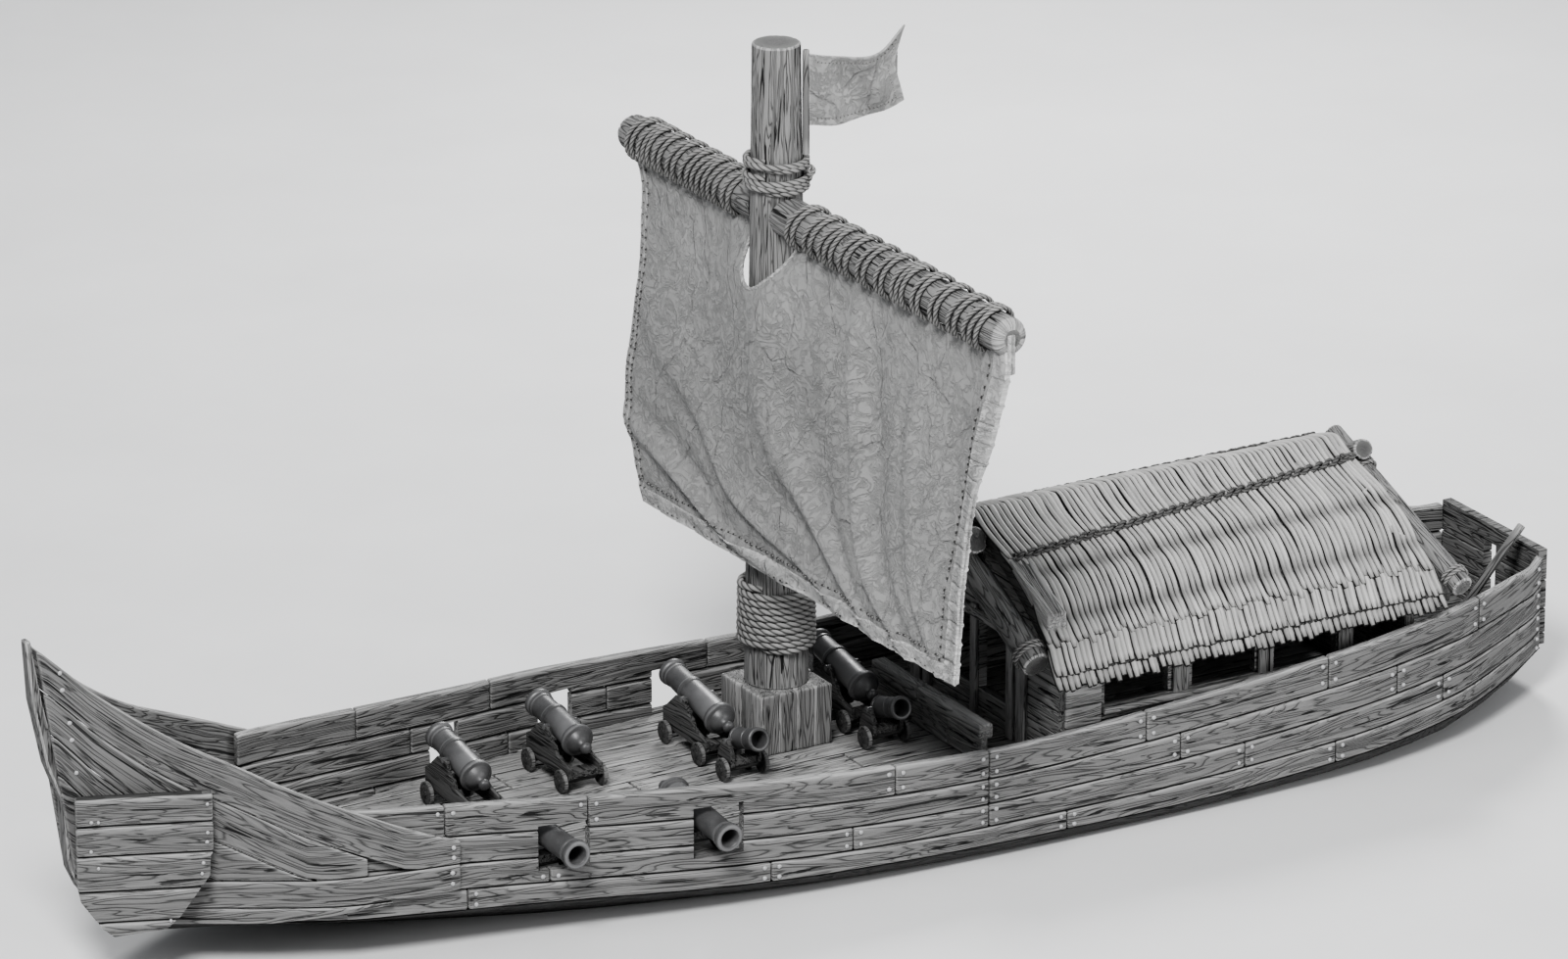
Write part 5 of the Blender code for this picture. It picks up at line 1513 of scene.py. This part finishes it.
# The guns' outlines, from the bore's end out round the muzzle to the knob at the breech
LONG_MUZZLE = [               # radius and distance behind the muzzle
    (0.001, 0.25), (0.078, 0.25), (0.080, 0.012), (0.088, 0.001), (0.112, 0.0), (0.129, 0.008),
    (0.134, 0.025), (0.133, 0.045), (0.126, 0.060), (0.115, 0.068), (0.113, 0.084),
    (0.121, 0.090), (0.121, 0.106), (0.112, 0.112)]
LONG_BAND = [                 # radius and distance ahead of the trunnions
    (0.117, 0.16), (0.119, 0.145), (0.131, 0.140), (0.133, 0.120), (0.131, 0.100),
    (0.121, 0.095)]
LONG_BREECH = [               # radius and distance ahead of the knob's end
    (0.128, 0.262), (0.130, 0.245), (0.148, 0.238), (0.154, 0.225), (0.154, 0.190),
    (0.148, 0.178), (0.122, 0.168), (0.108, 0.140), (0.070, 0.105), (0.046, 0.090),
    (0.040, 0.072), (0.052, 0.052), (0.056, 0.034), (0.046, 0.014), (0.026, 0.003),
    (0.001, 0.0)]
SHORT_PROFILE = [             # radius and distance ahead of the trunnions
    (0.001, 0.20), (0.072, 0.20), (0.073, 0.352), (0.082, 0.366), (0.098, 0.369),
    (0.110, 0.362), (0.111, 0.345), (0.111, 0.320), (0.105, 0.308), (0.094, 0.302),
    (0.094, 0.200), (0.100, 0.195), (0.100, 0.172), (0.095, 0.168), (0.098, 0.0),
    (0.104, -0.005), (0.104, -0.030), (0.098, -0.040), (0.078, -0.075), (0.045, -0.092),
    (0.030, -0.098), (0.028, -0.106), (0.001, -0.109)]
TRUCK_R = 0.1085


def long_profile(ahead, behind):
    """The outline of a long gun that reaches so far ahead of and behind its trunnions."""
    return ([(radius, ahead - back) for radius, back in LONG_MUZZLE] + LONG_BAND
            + [(radius, -behind + on) for radius, on in LONG_BREECH])


class GUNBOAT_OT_guns(bpy.types.Operator):
    """Mount the guns on their carriages"""

    bl_idname = "gunboat.guns"
    bl_label = "Guns"

    def barrel(self, tag, profile, place, trunnion_r, reach):
        """Turn one barrel with its trunnions."""
        to_axis = place @ Matrix.Rotation(math.pi / 2, 4, "Y")
        solid = Solid()
        pale_edge = {i for i, (radius, along) in enumerate(profile) if radius > 0.1 and i % 4 == 0}
        add_turned(solid, profile, to_axis, wear_at=pale_edge)
        across = place @ Matrix.Rotation(math.pi / 2, 4, "X")
        pin = [(trunnion_r * 0.8, -reach), (trunnion_r, -reach + 0.005),
               (trunnion_r, reach - 0.005), (trunnion_r * 0.8, reach)]
        add_turned(solid, pin, across, sides=20, wear_at={0, 3})
        name = "gun_%s_barrel" % tag
        settle(solid.object("barrel_" + tag, finish("iron"), 40.0), name, "gun_iron", name)

    def trucks(self, node):
        """Turn a pair of wheels and their axle."""
        low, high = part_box(node)
        middle = (low + high) / 2
        half = (high.x - low.x) / 2
        inner, outer = half - 0.059, half - 0.001
        wheel = [(0.012, outer), (0.028, outer), (0.032, outer - 0.010),
                 (TRUCK_R * 0.9, outer - 0.012), (TRUCK_R, outer - 0.020),
                 (TRUCK_R, inner + 0.008), (TRUCK_R * 0.93, inner), (0.030, inner)]
        shape = [(radius, -along) for radius, along in wheel] + wheel[::-1]
        solid = Solid()
        place = Matrix.Translation(middle) @ Matrix.Rotation(math.pi / 2, 4, "Y")
        add_turned(solid, shape, place, sides=28, wear_at={4, 5, 10, 11})
        settle(solid.object("wheels_" + node[4:], finish("dark_wood"), 35.0), node,
               "carriage_wood", node)

    def execute(self, context):
        for tag, (x, y, elevation, sign, ahead, behind) in GUNS.items():
            pivot = Vector((x, y - sign * 0.24, DECK_Z + (0.40 if sign > 0 else 0.50)))
            place = (Matrix.Translation(pivot) @ Matrix.Rotation(math.pi / 2 * sign, 4, "Z")
                     @ Matrix.Rotation(-math.radians(elevation), 4, "Y"))
            self.barrel(tag, long_profile(ahead, behind), place, 0.0295, 0.174)
            for which in ("front", "rear"):
                self.trucks("gun_%s_trucks_%s" % (tag, which))
        for tag, (x, y) in SHORT_GUNS.items():
            place = (Matrix.Translation((x, y - 0.045, DECK_Z + 0.36))
                     @ Matrix.Rotation(math.pi / 2, 4, "Z")
                     @ Matrix.Rotation(-math.radians(17.0), 4, "Y"))
            self.barrel(tag, SHORT_PROFILE, place, 0.0245, 0.158)
            self.trucks("gun_%s_trucks" % tag)
        for k, tag in enumerate((*GUNS, *SHORT_GUNS)):
            node = "gun_%s_carriage" % tag
            piece = hewn("carriage_" + tag, node, finish("dark_wood"), 1, 0.005, k * 3.0)
            settle(piece, "hull", "carriage_wood", node)
        return {"FINISHED"}


class GUNBOAT_OT_steering(bpy.types.Operator):
    """Set up the steering pole in its step"""

    bl_idname = "gunboat.steering"
    bl_label = "Steering pole"

    def execute(self, context):
        solid = Solid()
        foot, head = Vector((-6.66, 0.60, 0.70)), Vector((-7.47, 0.60, 1.593))
        add_log(solid, foot, head, 0.044, 0.042, 6.0, sides=20, rough=0.002, round_end=0.012)
        add_log(solid, foot + Vector((0, -0.0995, 0)), foot + Vector((0, 0.0995, 0)), 0.0195,
                0.0195, 7.0, sides=14, rough=0.0005, round_end=0.004)
        settle(solid.object("steering_spar", finish("planks")), "steering_pole",
               "weathered_wood", "steering_pole")
        step = hewn("pole_step_block", "pole_step", finish("dark_wood"), 0, 0.006)
        settle(step, "hull", "weathered_wood", "pole_step")
        return {"FINISHED"}


BOW_NAILS = (               # row of the bow planks, X and shares of the row's height
    (0, WING_START_X + 0.07, (0.28, 0.66)), (4, WING_START_X + 0.08, (0.30, 0.70)),
    (0, 7.20, (0.4, 0.8)), (1, 7.18, (0.3, 0.7)), (2, 7.18, (0.5,)))
BOARD_NAILS = (             # distance aft of the bow board's fore edge, and height
    (1.19, 1.655), (1.187, 1.39), (1.18, 1.304), (1.144, 1.11), (1.13, 1.01), (0.25, 1.536),
    (0.19, 1.539), (0.18, 1.267), (0.24, 1.108), (0.85, 0.585))


class GUNBOAT_OT_nails(bpy.types.Operator):
    """Drive domed nails into the planks, in pairs beside each joint"""

    bl_idname = "gunboat.nails"
    bl_label = "Nails"

    def execute(self, context):
        rng = random.Random(81)
        radius = settings().nail
        solid = Solid()
        for sign in (PORT, STARBOARD):
            for row, joints in JOINTS_ALONG[sign].items():
                spots = [x + d for x in joints for d in (-0.07, 0.07)]
                spots += [SIDE_START_X + 0.08]
                for x in spots:
                    for share in (0.25, 0.75):
                        t = SEAMS[row] + (SEAMS[row + 1] - SEAMS[row]) * share
                        point = side_point(x, t, 0.003, sign)
                        inside = any(abs(x - px) < wide / 2 + 0.03 and low - 0.03 < point.z
                                     < high + 0.03 for px, wide, low, high in PORTS[sign])
                        if x > WING_START_X - 0.03 and t < 0.9 or inside:
                            continue
                        add_nail(solid, point, (0, sign, 0), radius, rng)
            for row, x, shares in BOW_NAILS:
                low, high, _, proud = BOW_ROWS[row]
                for share in shares:
                    t = low(x) + (high(x) - low(x)) * share
                    point = wing_point(x, t, 0.003 - proud, sign)
                    out = (wing_point(x + 0.05, t, 0, sign) - point).cross(
                        wing_point(x, t + 0.05, 0, sign) - point) * -sign
                    add_nail(solid, point, out, radius, rng)
        out = BOARD_PLACE.to_3x3() @ Vector((0, 1, 0))
        for aft, z in BOARD_NAILS:
            add_nail(solid, BOARD_PLACE @ Vector((-aft, 0.119, z)), out, radius * 0.8, rng)
        settle(solid.object("nails", finish("nail")), "hull", "gun_iron")
        return {"FINISHED"}


# Stage

LIGHTS = (                  # name, place, height aimed at, size and power
    ("key", (23.0, 25.0, 38.0), 1.0, 15.0, 20000.0),
    ("fill", (-14.0, 28.0, 12.0), 1.5, 12.0, 3000.0),
    ("rim", (-16.0, -20.0, 20.0), 2.0, 9.0, 5200.0),
)
WORLD_STRENGTH = 0.34
CAMERA_AZIMUTH, CAMERA_ELEVATION = 150.0, 20.2      # degrees
CAMERA_PLACE = (35.594, 61.331, 29.322)
CAMERA_LENS = 193.5                                 # millimetres


class GUNBOAT_OT_stage(bpy.types.Operator):
    """Set the floor, the soft lights and the camera"""

    bl_idname = "gunboat.stage"
    bl_label = "Stage"

    def light(self, name, place, target, size, power):
        """Add one soft area light."""
        data = bpy.data.lights.new(name, "AREA")
        data.shape = "DISK"
        data.size = size
        data.energy = power
        lamp = linked(name, data)
        lamp.location = place
        lamp.rotation_euler = (Vector(target) - Vector(place)).to_track_quat("-Z", "Y").to_euler()

    def execute(self, context):
        scene = context.scene
        bm = bmesh.new()
        bmesh.ops.create_grid(bm, x_segments=1, y_segments=1, size=120.0)
        mesh = bpy.data.meshes.new("floor")
        bm.to_mesh(mesh)
        bm.free()
        floor = linked("floor", mesh)
        floor.location.z = -0.002
        paper = Finish("studio_floor", 0.9)
        tone = paper.steps(paper.speckle(paper.place(), (0.4, 0.4, 0.4)), (0.3, 0.68),
                           (0.7, 0.72))
        paper.colour(tone)
        mesh.materials.append(paper.material)
        for name, place, height, size, power in LIGHTS:
            self.light(name, place, (0, 0, height), size, power)
        world = bpy.data.worlds.new("studio")
        world.use_nodes = True
        sky = world.node_tree.nodes["Background"]
        sky.inputs["Color"].default_value = (0.9, 0.92, 0.95, 1)
        sky.inputs["Strength"].default_value = WORLD_STRENGTH
        scene.world = world
        scene.view_settings.look = "AgX - High Contrast"
        data = bpy.data.cameras.new("camera")
        data.sensor_width = 36.0
        data.lens = CAMERA_LENS
        data.clip_end = 500.0
        camera = linked("camera", data)
        a, e = math.radians(CAMERA_AZIMUTH), math.radians(CAMERA_ELEVATION)
        back = Vector((math.sin(a) * math.cos(e), -math.cos(a) * math.cos(e), math.sin(e)))
        right = Vector((math.cos(a), math.sin(a), 0.0))
        up = back.cross(right)
        turn = Matrix((right, up, back)).transposed().to_4x4()
        turn.translation = Vector(CAMERA_PLACE)
        camera.matrix_world = turn
        scene.camera = camera
        return {"FINISHED"}


OPERATORS = (GUNBOAT_OT_sides, GUNBOAT_OT_bow, GUNBOAT_OT_bow_board, GUNBOAT_OT_deck,
             GUNBOAT_OT_mast, GUNBOAT_OT_yard, GUNBOAT_OT_sail, GUNBOAT_OT_flag,
             GUNBOAT_OT_cabin, GUNBOAT_OT_logs, GUNBOAT_OT_thatch, GUNBOAT_OT_guns,
             GUNBOAT_OT_steering, GUNBOAT_OT_nails, GUNBOAT_OT_stage)


class GUNBOAT_PT_pieces(bpy.types.Panel):
    """The boat's sizes and the operators that build it"""

    bl_idname = "GUNBOAT_PT_pieces"
    bl_label = "Gunboat"
    bl_space_type = "VIEW_3D"
    bl_region_type = "UI"
    bl_category = "Gunboat"

    def draw(self, context):
        look = context.scene.gunboat
        for name in look.__annotations__:
            self.layout.prop(look, name)
        for operator in OPERATORS:
            self.layout.operator(operator.bl_idname)


def register():
    """Register the settings, the operators and the panel."""
    for item in (BoatSettings, *OPERATORS, GUNBOAT_PT_pieces):
        bpy.utils.register_class(item)
    bpy.types.Scene.gunboat = PointerProperty(type=BoatSettings)


def unregister():
    """Remove them again."""
    del bpy.types.Scene.gunboat
    for item in (GUNBOAT_PT_pieces, *reversed(OPERATORS), BoatSettings):
        bpy.utils.unregister_class(item)


def main():
    """Build the dressed boat in order."""
    register()
    for operator in OPERATORS:
        group, name = operator.bl_idname.split(".")
        getattr(getattr(bpy.ops, group), name)()


if __name__ == "__main__":
    main()
